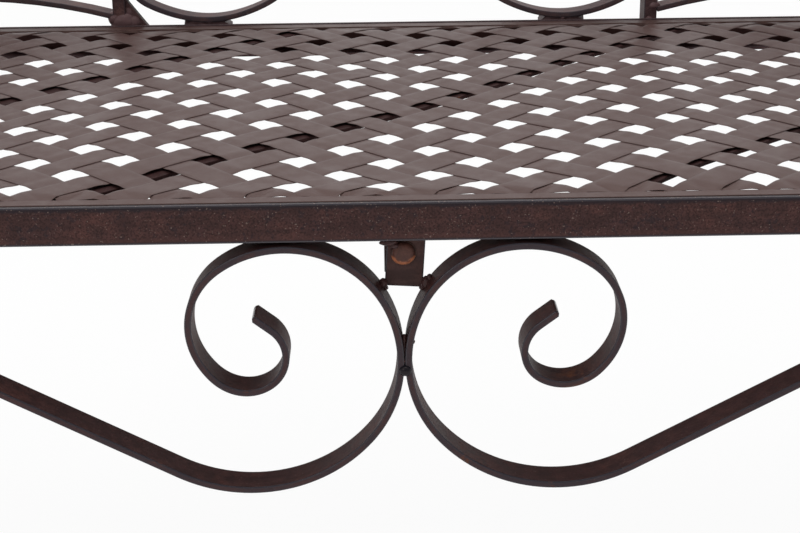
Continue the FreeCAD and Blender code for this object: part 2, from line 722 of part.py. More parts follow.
def build_armrests():
    rake = math.radians(size("rake_angle"))
    face = pivot_depth + (arm_under - pivot_level) * math.tan(rake) - size("leg_size") / 2 / math.cos(rake)
    rear = face - size("weld_gap")
    level = arm_under + size("arm_thickness") / 2
    stroke = Stroke(Vector(rear, level, 0), 180)
    stroke.line(rear + size("arm_overhang"))
    stroke.arc(size("arm_curl"), 180)
    stroke.arc(size("arm_curl_inside"), size("arm_curl_angle"))
    stroke.line(size("arm_thickness"))
    arm = bar(stroke.pieces, size("arm_thickness"), size("arm_width"))
    arm.Placement = Placement(Vector(leg_middle - size("arm_width") / 2, 0, 0), SIDEWAYS)

    # The scroll under the armrest touches it above and the side beam below
    outside = (arm_under - size("seat_height")) / 2 - size("weld_gap")
    radius = outside - size("bar_thickness") / 2
    bottom = size("seat_height") + size("weld_gap") + size("bar_thickness") / 2
    middle = (size("leg_size") + size("seat_depth")) / 2
    stroke = Stroke(Vector(middle - size("side_tail"), bottom, 0), 0)
    stroke.line(size("side_tail"))
    stroke.arc(radius, size("side_loop_angle"))
    stroke.curl(radius, 1, SIDE_CURL_ARCS)
    scroll = bar(stroke.pieces, size("bar_thickness"), size("bar_depth"))
    scroll.Placement = Placement(Vector(leg_middle - size("bar_depth") / 2, 0, 0), SIDEWAYS)
    for label, shape in (("armrest", arm), ("side_scroll", scroll)):
        add_shape(f"{label}_right", shape)
        add_shape(f"{label}_left", across_x(shape))


# Back: two square rails bolted to the posts, with stems and scrolls between them

crest_run = half_width - size("weld_gap") - size("crest_end")
crest_radius = crest_run / math.sin(math.radians(size("crest_angle"))) - size("crest_bend")
crest_rise = crest_run * math.tan(math.radians(size("crest_angle") / 2))
crest_middle = size("back_height") + crest_rise - crest_radius
rail_top = size("back_rail") / 2 + size("weld_gap")


def crest_under(across, room):
    """Height in the back's plane of a line that keeps the given room under the crest rail."""
    radius = crest_radius - size("back_rail") / 2 - size("weld_gap") - room
    return crest_middle + math.sqrt(radius ** 2 - across ** 2)


def back_bar(pieces):
    """A flat bar in the plane of the back."""
    shape = bar(pieces, size("back_bar_thickness"), size("back_bar_depth"))
    shape.translate(Vector(0, 0, -size("back_bar_depth") / 2))
    return shape


def back_block(corners, depth):
    """A straight bar in the plane of the back, from its corners."""
    points = [Vector(across, up, -depth / 2) for across, up in corners]
    face = Part.Face(Part.makePolygon(points + points[:1]))
    return face.extrude(Vector(0, 0, depth))


def add_back(label, side, shape):
    """A piece of the back that is drawn for the right side, on either side."""
    shape.Placement = BACK.multiply(shape.Placement)
    add_shape(f"{label}_{side}", shape if side == "right" else across_x(shape))


def c_scroll(place, floor, outside, foot, side_radius, top_place, top_outside):
    """A bar with a large curl below and a small one above, both open to +X."""
    half_bar = size("back_bar_thickness") / 2
    radius = outside - half_bar
    top_radius = top_outside - half_bar
    lower = Vector(place, floor + outside, 0)
    upper = Vector(top_place, crest_under(top_place, top_outside), 0)
    span = upper - lower
    heading = math.degrees(math.atan2(span.y, span.x) - math.asin((radius - top_radius) / span.Length))
    lowest = lower - Vector(0, radius, 0)
    rise = Stroke(lowest, 180)
    rise.arc(radius, heading - 180)
    rise.line(math.sqrt(span.Length ** 2 - (radius - top_radius) ** 2))
    rise.arc(top_radius, -size("back_scroll_top_angle"))
    rise.curl(top_radius, -1, BACK_CURL_ARCS)
    curl = Stroke(lowest, 0)
    curl.arc(radius, foot)
    curl.arc(side_radius, 180 - foot)
    curl.curl(side_radius, 1, BACK_CURL_ARCS)
    return back_bar(curl.reversed_pieces() + rise.pieces)


def build_back_rails():
    lean = Rotation(Vector(1, 0, 0), -size("rake_angle"))
    rail = tube_body(
        "back_bottom_rail", "sizes.back_rail", "sizes.back_rail_wall",
        "sizes.seat_width - 2 * sizes.weld_gap")
    place_body(
        rail, lean.multiply(SIDEWAYS), "-sizes.seat_width / 2 + sizes.weld_gap",
        "sizes.seat_depth + sizes.leg_size / 2",
        "sizes.seat_height + sizes.back_rail_rise - sizes.back_rail / 2")

    angle = size("crest_angle")
    stroke = Stroke(Vector(-half_width + size("weld_gap"), size("back_height"), 0), 0)
    stroke.line(size("crest_end"))
    stroke.arc(size("crest_bend"), angle)
    stroke.arc(crest_radius, -2 * angle)
    stroke.arc(size("crest_bend"), angle)
    stroke.line(size("crest_end"))
    crest = hollow_bar(stroke.pieces, size("back_rail"), size("back_rail_wall"))
    crest.Placement = BACK.multiply(crest.Placement)
    add_shape("back_crest_rail", crest)

    # Each rail end holds a threaded plug for a bolt through the post
    wide = size("back_rail") - 2 * size("back_rail_wall") - 2 * size("plug_play")
    plug = Part.makeBox(wide, wide, size("plug_height"), Vector(-wide / 2, -wide / 2, 0))
    plug = plug.cut(hole(Vector(0, 0, 0), Vector(0, 0, 1), 2 * size("plug_height")))
    bolts = []
    plugs = []
    for sign in MIRROR.values():
        inward = Vector(-sign, 0, 0)
        for level in (0, size("back_height")):
            end = Vector(sign * (half_width - size("weld_gap")), level, 0)
            head = Vector(sign * (half_width + size("leg_size")), level, 0)
            length = size("leg_size") + size("weld_gap") + size("plug_height")
            plugs.append(put(plug, end, inward))
            bolts.append(put(carriage_bolt(length), head, inward))
    add_shape("back_rail_plugs", Part.makeCompound(plugs), BACK)
    add_shape("back_bolts", Part.makeCompound(bolts), BACK)


def build_back_scrolls():
    for side, sign in MIRROR.items():
        build_back_side(side, sign * size("back_shift"))


def build_back_side(side, shift):
    """One side's stem, scrolls and arch, all moved away from the middle of the bench by the shift."""
    stem_inside = size("stem_place") - size("stem_width") / 2 + shift
    stem_outside = stem_inside + size("stem_width")
    gap = size("weld_gap")
    depth = size("back_bar_depth")
    add_back("back_stem", side, back_block([
        (stem_inside, rail_top), (stem_outside, rail_top),
        (stem_outside, crest_under(stem_outside, 0)), (stem_inside, crest_under(stem_inside, 0))], depth))

    # The scroll stands on a pad, and its lower curl's outer side touches the stem
    half_bar = size("back_bar_thickness") / 2
    place = size("back_scroll_place") + shift
    half_pad = size("scroll_pad_width") / 2
    pad_top = rail_top + size("scroll_pad_height")
    add_back("scroll_pad", side, back_block([
        (place - half_pad, rail_top), (place + half_pad, rail_top),
        (place + half_pad, pad_top), (place - half_pad, pad_top)], size("back_rail")))
    foot = math.sin(math.radians(size("back_scroll_foot_angle")))
    room = stem_inside - gap - half_bar - place
    side_radius = (room - (size("back_scroll_radius") - half_bar) * foot) / (1 - foot)
    add_back("back_scroll", side, c_scroll(
        place, pad_top + gap, size("back_scroll_radius"), size("back_scroll_foot_angle"),
        side_radius, size("back_scroll_top_place") + shift, size("back_scroll_top_radius")))

    # A low arch spans from the stem to the post, and an outer scroll stands on its crown
    start = stem_outside + gap
    end = half_width - gap
    chord = end - start
    rise = size("arch_rise")
    radius = (chord ** 2 / 4 + rise ** 2) / (2 * rise)
    half_angle = math.degrees(math.asin(chord / 2 / radius) + 2 * half_bar / radius)
    level = rail_top + size("arch_lift") + half_bar + rise
    arch_middle = Vector((start + end) / 2, level - radius, 0)
    arch = Stroke(arch_middle + along(90 + half_angle) * radius, half_angle)
    arch.arc(radius, -2 * half_angle)
    between = Part.makeBox(chord, size("back_height"), depth, Vector(start, 0, -depth / 2))
    add_back("back_arch", side, back_bar(arch.pieces).common(between))
    top_place = arch_middle.x - size("outer_scroll_lean")
    outer = c_scroll(
        -arch_middle.x, level + half_bar + gap, size("outer_scroll_radius"), size("back_scroll_foot_angle"),
        size("outer_scroll_side_radius"), -top_place, size("outer_scroll_top_radius"))
    add_back("back_outer_scroll", side, across_x(outer))

    # A short stay leans from the bottom rail's front to the left stem
    if side == "left":
        foot = stem_inside - gap
        slope = size("stay_height") / size("stay_reach")
        stay = back_block([
            (foot - size("stay_reach"), rail_top), (foot, rail_top + size("stay_height")),
            (foot, rail_top + size("stay_height") - size("stay_width") * slope),
            (foot - size("stay_reach") + size("stay_width"), rail_top)], size("stay_depth"))
        stay.translate(Vector(0, 0, (size("back_rail") - size("stay_depth")) / 2))
        add_back("back_stay", side, stay)


build_seat_frame()
build_straps()
build_supports()
build_seat_bolts()
build_apron()
build_side_frames()
build_armrests()
build_back_rails()
build_back_scrolls()
doc.recompute()

# The origin goes to the middle of the footprint, on the floor
whole = FreeCAD.BoundBox()
for part in parts:
    whole.add(part.Shape.BoundBox)
for part in parts:
    for axis, _ in part.ExpressionEngine:
        part.setExpression(axis, None)
    part.Placement.move(Vector(-whole.Center.x, -whole.Center.y, -whole.ZMin))
doc.recompute()

for item in doc.Objects:
    if "Invalid" in item.State or "Error" in item.State:
        raise ValueError(f"{item.Label} failed")
for part in parts:
    if part.Shape.isNull() or not part.Shape.isValid():
        raise ValueError(f"{part.Label} has no valid shape")

os.makedirs("parts", exist_ok=True)
for part in parts:
    part.Shape.exportStep(f"parts/{part.Label}.step")
    print(part.Label, len(part.Shape.Solids), part.Shape.BoundBox)
print("nodes", len(parts), "front face at Y", -whole.Center.y)
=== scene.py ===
import math
import random
from functools import partial

import bmesh
import bpy
from mathutils import Euler, Matrix, Vector, noise


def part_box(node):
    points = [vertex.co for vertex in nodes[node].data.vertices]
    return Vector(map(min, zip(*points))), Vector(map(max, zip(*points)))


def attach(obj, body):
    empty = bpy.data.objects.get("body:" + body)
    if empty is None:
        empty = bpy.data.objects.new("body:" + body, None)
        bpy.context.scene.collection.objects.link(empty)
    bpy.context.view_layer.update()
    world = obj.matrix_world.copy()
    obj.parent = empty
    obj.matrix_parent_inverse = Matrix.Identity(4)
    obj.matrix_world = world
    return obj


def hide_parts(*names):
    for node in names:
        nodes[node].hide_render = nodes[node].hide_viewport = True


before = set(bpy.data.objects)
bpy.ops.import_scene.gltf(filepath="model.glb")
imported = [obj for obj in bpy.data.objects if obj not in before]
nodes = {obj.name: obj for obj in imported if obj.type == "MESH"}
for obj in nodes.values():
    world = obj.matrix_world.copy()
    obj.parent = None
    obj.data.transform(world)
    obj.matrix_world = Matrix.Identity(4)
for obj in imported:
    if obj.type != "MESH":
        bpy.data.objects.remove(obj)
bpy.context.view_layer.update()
scene = bpy.context.scene
MM = 0.001

# Sizes of the bench, in millimetres and degrees. Right is +X, the front faces -Y.
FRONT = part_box("seat_rail_front")[0].y / MM
SEAT_WIDTH = 1080
SEAT_DEPTH = 530
SEAT_TOP = 440
RAIL = 25
RAIL_WALL = 3
RAIL_UNDER = SEAT_TOP - RAIL
GROOVE = 1.6
LIP_WIDTH = 10
LIP_WALL = 3
LIP_INSIDE = RAIL_WALL + GROOVE + LIP_WIDTH
GAP = 0.2
BAR_DEPTH = 21.5
BAR_THICK = 4.5
TUBE = 25
BACK_TUBE = 20
RAKE = 2
HALF = SEAT_WIDTH / 2
LEG_MIDDLE = HALF + TUBE / 2
PIVOT_DEPTH = SEAT_DEPTH + TUBE / 2
PIVOT_LEVEL = SEAT_TOP - 5.5 - BACK_TUBE / 2
ARM_TOP = 640
ARM_THICK = 6
ARM_WIDTH = 40
ARM_UNDER = ARM_TOP - ARM_THICK
BACK_HEIGHT = 400
BACK_BAR_DEPTH = 25
BACK_BAR_THICK = 5
SCROLL_SHRINK = 0.68
SCROLL_TURN = 105
SCROLL_TIP = 9
SCROLL_BEVEL = 1.3
SIDES = {"right": 1, "left": -1}

# Colours, as linear red, green and blue
SHEEN = (1.0, 0.86, 0.82, 1.0)
BROWN = (0.071, 0.033, 0.032)
RED = (0.097, 0.041, 0.036)
MAUVE = (0.080, 0.054, 0.057)
BACK_BROWN = (0.112, 0.064, 0.066)
BACK_RED = (0.134, 0.071, 0.065)
NAVY = (0.0145, 0.0130, 0.0185)
# Worn edges, lightened as a painted highlight along the arrises
ARRIS_WEAR_AND_HIGHLIGHT = (0.030, 0.030, 0.042)
SLATE = (0.050, 0.044, 0.054)
CHALK = (0.125, 0.092, 0.088)
PLATE_BROWN = (0.098, 0.056, 0.053)
PLATE_RED = (0.112, 0.058, 0.050)
RUST = (0.17, 0.060, 0.028)
COPPER = (0.56, 0.20, 0.10)
BOLT_BROWN = (0.086, 0.036, 0.028)
BOLT_RED = (0.118, 0.047, 0.035)
# Painted shade for the lip's inner walls, seen through the holes of the seat
INSIDE_SHADE = (0.045, 0.020, 0.018)
SEAT_BROWN = (0.068, 0.033, 0.0285)
SEAT_GREY = (0.075, 0.041, 0.0370)
SEAT_PALE = (0.12, 0.10, 0.095)
# Painted shade along the edges of the straps and lip
SEAT_EDGE_SHADE = (0.030, 0.020, 0.017)
DOTS = (0.23, 0.165, 0.14)
# Painted highlight: the light ring on one side of the bolts' rim
RIM_HIGHLIGHT = (0.22, 0.16, 0.13)
STEEL_DARK = (0.38, 0.37, 0.34)
STEEL_LIGHT = (0.52, 0.51, 0.49)
PLASTIC = (0.022, 0.021, 0.021)
PLASTIC_SCUFF = (0.06, 0.055, 0.05)


# Shader graphs

def toned(color, share):
    """The colour, made lighter or darker by the share."""
    return tuple(share * value for value in color)


def sheen(level):
    return {"Specular IOR Level": level, "Specular Tint": SHEEN}


class Graph:
    """The node tree of a material or world. A node's inputs are linked to sockets or set to values."""

    def __init__(self, owner):
        owner.use_nodes = True
        self.owner = owner
        self.tree = owner.node_tree
        self.tree.nodes.clear()

    def add(self, kind, inputs=None, **settings):
        node = self.tree.nodes.new(kind)
        for key, value in settings.items():
            setattr(node, key, value)
        for key, value in (inputs or {}).items():
            if isinstance(value, bpy.types.NodeSocket):
                self.tree.links.new(value, node.inputs[key])
            else:
                node.inputs[key].default_value = value
        return node

    def ramp(self, value, low, high, to_low=0.0, to_high=1.0):
        inputs = {"Value": value, "From Min": low, "From Max": high, "To Min": to_low, "To Max": to_high}
        return self.add("ShaderNodeMapRange", inputs, interpolation_type="SMOOTHSTEP").outputs[0]

    def calc(self, operation, first, second, clamp=True):
        inputs = {0: first, 1: second}
        return self.add("ShaderNodeMath", inputs, operation=operation, use_clamp=clamp).outputs[0]

    def plus(self, first, second):
        return self.calc("ADD", first, second)

    def times(self, first, second):
        return self.calc("MULTIPLY", first, second)

    def blend(self, factor, first, second):
        first, second = (color if isinstance(color, bpy.types.NodeSocket) else (*color, 1.0)
                         for color in (first, second))
        inputs = {0: factor, 6: first, 7: second}
        return self.add("ShaderNodeMix", inputs, data_type="RGBA", clamp_factor=True).outputs[2]


class Finish(Graph):
    """The material of a piece, with noise that stays on the piece."""

    def __init__(self, name):
        super().__init__(bpy.data.materials.new(name))
        self.where = self.add("ShaderNodeTexCoord").outputs["Object"]

    def noise(self, scale, detail, rough, stretch=None):
        where = self.where
        if stretch:
            where = self.add("ShaderNodeMapping", {"Vector": where, "Scale": stretch}).outputs[0]
        inputs = {"Vector": where, "Scale": scale, "Detail": detail, "Roughness": rough}
        return self.add("ShaderNodeTexNoise", inputs).outputs[0]

    def attribute(self, name):
        return self.add("ShaderNodeAttribute", attribute_name=name).outputs["Fac"]

    def level(self):
        return self.add("ShaderNodeSeparateXYZ", {0: self.where}).outputs[2]

    def surface(self, color, roughness, height, strength, distance, shine):
        bump = self.add("ShaderNodeBump", {"Height": height, "Strength": strength, "Distance": distance})
        shade = self.add("ShaderNodeBsdfPrincipled", {
            "Base Color": color, "Roughness": roughness, "Normal": bump.outputs[0], **shine})
        self.add("ShaderNodeOutputMaterial", {0: shade.outputs[0]})
        return self.owner


def paint(name, brown, red, rough, specular, rim_from=0.8, rim_share=1.0, dot_share=0.4, mottle=0.5,
          bands=None, stains=()):
    """Brown paint dabbed over a blue-black coat: red and dark patches, light dots, glossy arrises with a
    lighter blue-grey line that is partly wear and partly painted highlight.

    bands gives the foot and top of a rail, which is redder at its foot and darker under its top.
    stains gives places in millimetres, their reach and their colour."""
    ink = Finish(name)
    edge = ink.attribute("edge")
    narrow = ink.attribute("narrow")
    patches = ink.noise(38.0, 5.0, 0.62)
    clouds = ink.noise(120.0, 4.0, 0.6)
    grain = ink.noise(720.0, 2.0, 0.5)
    brushed = ink.noise(260.0, 4.0, 0.6, stretch=(0.12, 1.0, 1.0))

    color = ink.blend(ink.ramp(patches, 0.42, 0.68), brown, red)
    dabs = ink.plus(ink.times(clouds, 0.6), ink.times(brushed, 0.4))
    color = ink.blend(ink.ramp(dabs, 0.38, 0.60), toned(brown, 0.68), color)
    color = ink.blend(ink.times(narrow, ink.ramp(dabs, 0.35, 0.6, 0.9, 0.65)), color, MAUVE)
    broad = ink.ramp(narrow, 0.0, 1.0, 1.0, 0.35)
    dark = ink.times(ink.ramp(grain, 0.56, 0.36, 0.0, mottle), broad)
    color = ink.blend(dark, color, toned(brown, 0.25))
    bluish = ink.times(narrow, ink.ramp(patches, 0.56, 0.42, 0.0, 0.6))
    color = ink.blend(bluish, color, SLATE)
    blots = ink.noise(240.0, 3.0, 0.6)
    bare = ink.times(blots, ink.ramp(patches, 0.66, 0.40, 0.86, 1.0))
    bare = ink.times(ink.ramp(bare, 0.53, 0.63, 0.0, 0.8 * mottle), broad)
    rim = ink.calc("ADD", edge, ink.times(grain, 0.5), False)
    coat = ink.calc("MAXIMUM", bare, ink.ramp(rim, rim_from, rim_from + 0.5, 0.0, rim_share))
    if bands:
        low, high = bands
        jitter = ink.calc("MULTIPLY", ink.calc("SUBTRACT", clouds, 0.5, False), 0.006, False)
        level = ink.plus(ink.level(), jitter)
        coat = ink.calc("MAXIMUM", coat, ink.ramp(level, high - 0.0042, high - 0.0020, 0.0, 0.8))
        color = ink.blend(ink.ramp(level, low + 0.0065, low + 0.0025, 0.0, 0.3), color, red)
    color = ink.blend(coat, color, NAVY)
    # The arrises turn a lighter blue-grey: partly wear, partly a painted highlight line
    arris = ink.ramp(edge, 0.75, 1.0)
    color = ink.blend(ink.times(arris, 0.8 * rim_share), color, ARRIS_WEAR_AND_HIGHLIGHT)

    dots = ink.noise(760.0, 1.0, 0.4)
    specks = ink.times(ink.ramp(dots, 0.66, 0.73), ink.ramp(clouds, 0.36, 0.6))
    color = ink.blend(ink.times(specks, dot_share), color, DOTS)
    scuffs = ink.ramp(ink.noise(24.0, 7.0, 0.7), 0.62, 0.68)
    rub = ink.times(scuffs, ink.calc("MAXIMUM", edge, narrow))
    color = ink.blend(ink.times(rub, 0.6), color, RUST)
    for spot, reach, tone in stains:
        ends = {0: ink.where, 1: Vector(spot) * MM}
        apart = ink.add("ShaderNodeVectorMath", ends, operation="DISTANCE").outputs["Value"]
        near = ink.times(ink.ramp(apart, reach * MM, 0.0), ink.ramp(dabs, 0.46, 0.60))
        color = ink.blend(ink.times(near, 0.8), color, tone)

    height = ink.plus(ink.times(grain, 0.5), ink.times(clouds, 0.5))
    plain = ink.ramp(height, 0.3, 0.7, rough - 0.07, rough + 0.09)
    roughness = ink.add("ShaderNodeMix", {0: arris, 2: plain, 3: 0.27}, data_type="FLOAT").outputs[0]
    gloss = ink.ramp(arris, 0.0, 1.0, specular, specular + 0.45 * rim_share)
    return ink.surface(color, roughness, height, 0.25, 0.0005, sheen(gloss))


def seat_finish(name, shade_under=None):
    """The smoother paint of the woven panel, with painted shade under the level that shade_under gives."""
    ink = Finish(name)
    edge = ink.attribute("edge")
    patches = ink.noise(16.0, 4.0, 0.6)
    grain = ink.noise(900.0, 3.0, 0.6)
    drawn = ink.noise(70.0, 5.0, 0.6, stretch=(1.0, 1.0, 4.0))
    scratch = ink.noise(130.0, 2.0, 0.5, stretch=(0.25, 2.6, 1.0))
    color = ink.blend(ink.ramp(patches, 0.35, 0.7), SEAT_BROWN, SEAT_GREY)
    color = ink.blend(ink.ramp(drawn, 0.6, 0.78, 0.0, 0.35), color, SEAT_PALE)
    # Painted shade along the edges, for the dark lines where one strap passes over another
    color = ink.blend(ink.times(edge, 0.12), color, SEAT_EDGE_SHADE)
    color = ink.blend(ink.ramp(scratch, 0.745, 0.77, 0.0, 0.5), color, SEAT_PALE)
    gloss = 0.34
    # Painted shade: dark and dull below the level
    if shade_under:
        inside = ink.ramp(ink.level(), shade_under, shade_under - 0.0015)
        color = ink.blend(inside, color, INSIDE_SHADE)
        gloss = ink.ramp(inside, 0.0, 1.0, gloss, 0.04)
    roughness = ink.ramp(drawn, 0.3, 0.7, 0.40, 0.50)
    height = ink.plus(ink.times(grain, 0.4), ink.times(drawn, 0.6))
    return ink.surface(color, roughness, height, 0.12, 0.0004, sheen(gloss))


def weld_finish(name, brown, rust_share=0.7, gloss=0.28, rough=0.22, bumps=0.45):
    """Painted weld metal: lumpy and glossier than the bars, with rust coloured spots."""
    ink = Finish(name)
    clouds = ink.noise(260.0, 4.0, 0.6)
    grain = ink.noise(700.0, 3.0, 0.6)
    hollows = ink.blend(bumps, brown, NAVY)
    color = ink.blend(ink.ramp(clouds, 0.30, 0.56), hollows, brown)
    spots = ink.times(ink.ramp(grain, 0.60, 0.70), ink.ramp(clouds, 0.52, 0.64))
    color = ink.blend(ink.times(spots, rust_share), color, RUST)
    roughness = ink.ramp(grain, 0.3, 0.7, rough, rough + 0.18)
    return ink.surface(color, roughness, clouds, bumps, 0.0007, sheen(gloss))


def bolt_finish(name):
    """Brown paint over steel, rubbed through to copper-red primer under the rim, with a painted highlight on
    the right-hand side of the rim.
    """
    ink = Finish(name)
    edge = ink.attribute("edge")
    clouds = ink.noise(180.0, 4.0, 0.6)
    grain = ink.noise(800.0, 3.0, 0.6)
    normal = ink.add("ShaderNodeNewGeometry").outputs["Normal"]
    facing = ink.add("ShaderNodeSeparateXYZ", {0: normal}).outputs
    color = ink.blend(ink.ramp(clouds, 0.4, 0.62), BOLT_BROWN, BOLT_RED)
    color = ink.blend(ink.ramp(grain, 0.55, 0.36, 0.0, 0.5), color, toned(BOLT_BROWN, 0.5))
    color = ink.blend(ink.ramp(edge, 0.45, 0.8, 0.0, 0.65), color, toned(BOLT_BROWN, 0.35))
    worn = ink.ramp(ink.calc("ADD", edge, clouds, False), 0.34, 0.58)
    worn = ink.times(ink.ramp(facing[2], -0.08, -0.30), worn)
    color = ink.blend(ink.times(worn, 0.9), color, COPPER)
    # Painted highlight: a light ring on the right-hand side of the rim
    ring = ink.times(ink.ramp(edge, 0.85, 1.0), ink.ramp(facing[0], -0.2, 0.3))
    color = ink.blend(ink.times(ring, 0.7), color, RIM_HIGHLIGHT)
    roughness = ink.ramp(grain, 0.3, 0.7, 0.30, 0.46)
    return ink.surface(color, roughness, grain, 0.2, 0.0004, sheen(0.32))


def steel_finish(name):
    ink = Finish(name)
    clouds = ink.noise(150.0, 4.0, 0.6)
    grain = ink.noise(1200.0, 3.0, 0.6)
    color = ink.blend(ink.ramp(clouds, 0.35, 0.65), STEEL_DARK, STEEL_LIGHT)
    roughness = ink.ramp(grain, 0.3, 0.7, 0.3, 0.5)
    return ink.surface(color, roughness, grain, 0.15, 0.0003, {"Metallic": 1.0})


def plastic_finish(name):
    ink = Finish(name)
    grain = ink.noise(1500.0, 2.0, 0.5)
    scuffs = ink.noise(90.0, 5.0, 0.6)
    color = ink.blend(ink.ramp(scuffs, 0.55, 0.75), PLASTIC, PLASTIC_SCUFF)
    roughness = ink.ramp(scuffs, 0.3, 0.7, 0.5, 0.68)
    return ink.surface(color, roughness, grain, 0.3, 0.0004, sheen(0.5))


frame_paint = paint("frame_paint", BROWN, RED, 0.45, 0.12)
front_paint = paint("front_paint", BROWN, RED, 0.42, 0.18, rim_from=0.7, dot_share=0.85, mottle=0.65,
                    bands=(RAIL_UNDER * MM, SEAT_TOP * MM))
# Rusty spots at the foot of each curl, and pale ones beside the plate: place, reach, colour
BAR_STAINS = (
    ((108, FRONT + 7, 317), 17, RUST), ((-99, FRONT + 1, 312), 8, RUST),
    ((-9, FRONT + 10, 366), 15, CHALK), ((9, FRONT + 10, 366), 15, CHALK))
bar_paint = paint("bar_paint", BROWN, RED, 0.48, 0.06, rim_from=0.9, rim_share=0.75, dot_share=0.2,
                  mottle=0.28, stains=BAR_STAINS)
plate_paint = paint("plate_paint", PLATE_BROWN, PLATE_RED, 0.5, 0.12, dot_share=0.15, mottle=0.15)
back_paint = paint("back_paint", BACK_BROWN, BACK_RED, 0.5, 0.08, rim_from=1.0, rim_share=0.4, dot_share=0.2,
                   mottle=0.35)
# Painted shade: the support bars under the seat get a darker copy of the brown, for the shadow of the seat
# over them
shaded_brown = toned(BROWN, 0.66)
hidden_paint = paint("hidden_paint", shaded_brown, shaded_brown, 0.6, 0.04, rim_from=1.2, rim_share=0.0, dot_share=0.1,
                     mottle=0.3)
seat_paint = seat_finish("seat_paint")
# The lip's inner walls get painted shade below this level
lip_paint = seat_finish("lip_paint", (SEAT_TOP - 2.6) * MM)
weld_paint = weld_finish("weld_paint", BROWN)
back_weld = weld_finish("back_weld", toned(BACK_BROWN, 1.15), rust_share=0.1, gloss=0.2, rough=0.3,
                        bumps=0.15)
bead_paint = weld_finish("bead_paint", toned(NAVY, 0.8), rust_share=0.1, gloss=0.2, rough=0.12, bumps=0.1)
bolt_paint = bolt_finish("bolt_paint")
bare_steel = steel_finish("bare_steel")
foot_plastic = plastic_finish("foot_plastic")


# Pieces

# Degrees between two faces from which their edge is drawn sharp
SHARP = 42


def placed(name, data):
    """A new object in the scene."""
    item = bpy.data.objects.new(name, data)
    scene.collection.objects.link(item)
    return item


def filled(mesh, bm):
    """The mesh with what was edited in bm, which is closed."""
    bm.to_mesh(mesh)
    bm.free()
    return mesh


def piece_of(name, mesh, material, replaced=()):
    """An object of the scene from the mesh, smooth but for its sharp edges."""
    bm = bmesh.new()
    bm.from_mesh(mesh)
    bmesh.ops.recalc_face_normals(bm, faces=bm.faces)
    filled(mesh, bm)
    mesh.polygons.foreach_set("use_smooth", [True] * len(mesh.polygons))
    mesh.set_sharp_from_angle(angle=math.radians(SHARP))
    mesh.materials.append(material)
    piece = placed(name, mesh)
    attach(piece, "root")
    if replaced:
        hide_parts(*replaced)
    return piece


def mesh_of(name, points, faces, **values):
    """A mesh in metres from points in millimetres, with a float on each point for each named value."""
    mesh = bpy.data.meshes.new(name)
    mesh.from_pydata([point * MM for point in points], [], faces)
    for key, numbers in values.items():
        layer = mesh.attributes.new(key, "FLOAT", "POINT")
        layer.data.foreach_set("value", numbers)
    return mesh


def tube_faces(count, rings, base=0):
    """Faces between rings of so many points each, and the caps of both ends."""
    last = base + (rings - 1) * count
    faces = []
    for low in range(base, last, count):
        for index in range(count):
            follower = (index + 1) % count
            faces.append((low + index, low + follower, low + count + follower, low + count + index))
    return faces + [tuple(range(base, base + count)), tuple(range(last, last + count))]


def rounded(corners, radius, band, steps=3):
    """A closed profile with rounded corners: (point, edge, normal) for each of its points."""
    profile = []
    count = len(corners)
    for index in range(count):
        here = Vector(corners[index])
        before = Vector(corners[index - 1]) - here
        after = Vector(corners[(index + 1) % count]) - here
        back = before.normalized()
        ahead = after.normalized()
        middle = (back + ahead).normalized()
        half = back.angle(middle)
        centre = here + middle * (radius / math.sin(half))
        reach = radius / math.tan(half)
        first = here + back * reach - centre
        last = here + ahead * reach - centre
        sweep_angle = first.angle_signed(last)
        profile.append((here + back * min(band, before.length * 0.46), 0.0, first.normalized()))
        for step in range(steps + 1):
            spoke = Matrix.Rotation(-sweep_angle * step / steps, 2) @ first
            profile.append((centre + spoke, 1.0, spoke.normalized()))
        profile.append((here + ahead * min(band, after.length * 0.46), 0.0, last.normalized()))
    return profile


def rectangle(wide, deep):
    return [(-wide / 2, -deep / 2), (wide / 2, -deep / 2), (wide / 2, deep / 2), (-wide / 2, deep / 2)]


def along(heading):
    angle = math.radians(heading)
    return Vector((math.cos(angle), math.sin(angle)))


class Stroke:
    """Points and headings along a chain of tangent lines and arcs. A positive turn is to the left."""

    def __init__(self, point, heading):
        self.point = Vector(point)
        self.heading = heading
        self.trail = [(self.point.copy(), heading)]

    def line(self, length):
        count = max(1, int(length / 40))
        for _ in range(count):
            self.point = self.point + along(self.heading) * (length / count)
            self.trail.append((self.point.copy(), self.heading))
        return self

    def arc(self, radius, turn):
        side = math.copysign(1, turn)
        centre = self.point + along(self.heading + 90 * side) * radius
        count = max(4, int(abs(turn) / 2.5))
        for step in range(1, count + 1):
            heading = self.heading + turn * step / count
            self.point = centre - along(heading + 90 * side) * radius
            self.trail.append((self.point.copy(), heading))
        self.heading += turn
        return self

    def curl(self, radius, side, arcs):
        for _ in range(arcs):
            radius *= SCROLL_SHRINK
            self.arc(radius, side * SCROLL_TURN)
        return self.line(SCROLL_TIP)

    def turned_back(self):
        return [(point, heading + 180) for point, heading in reversed(self.trail)]


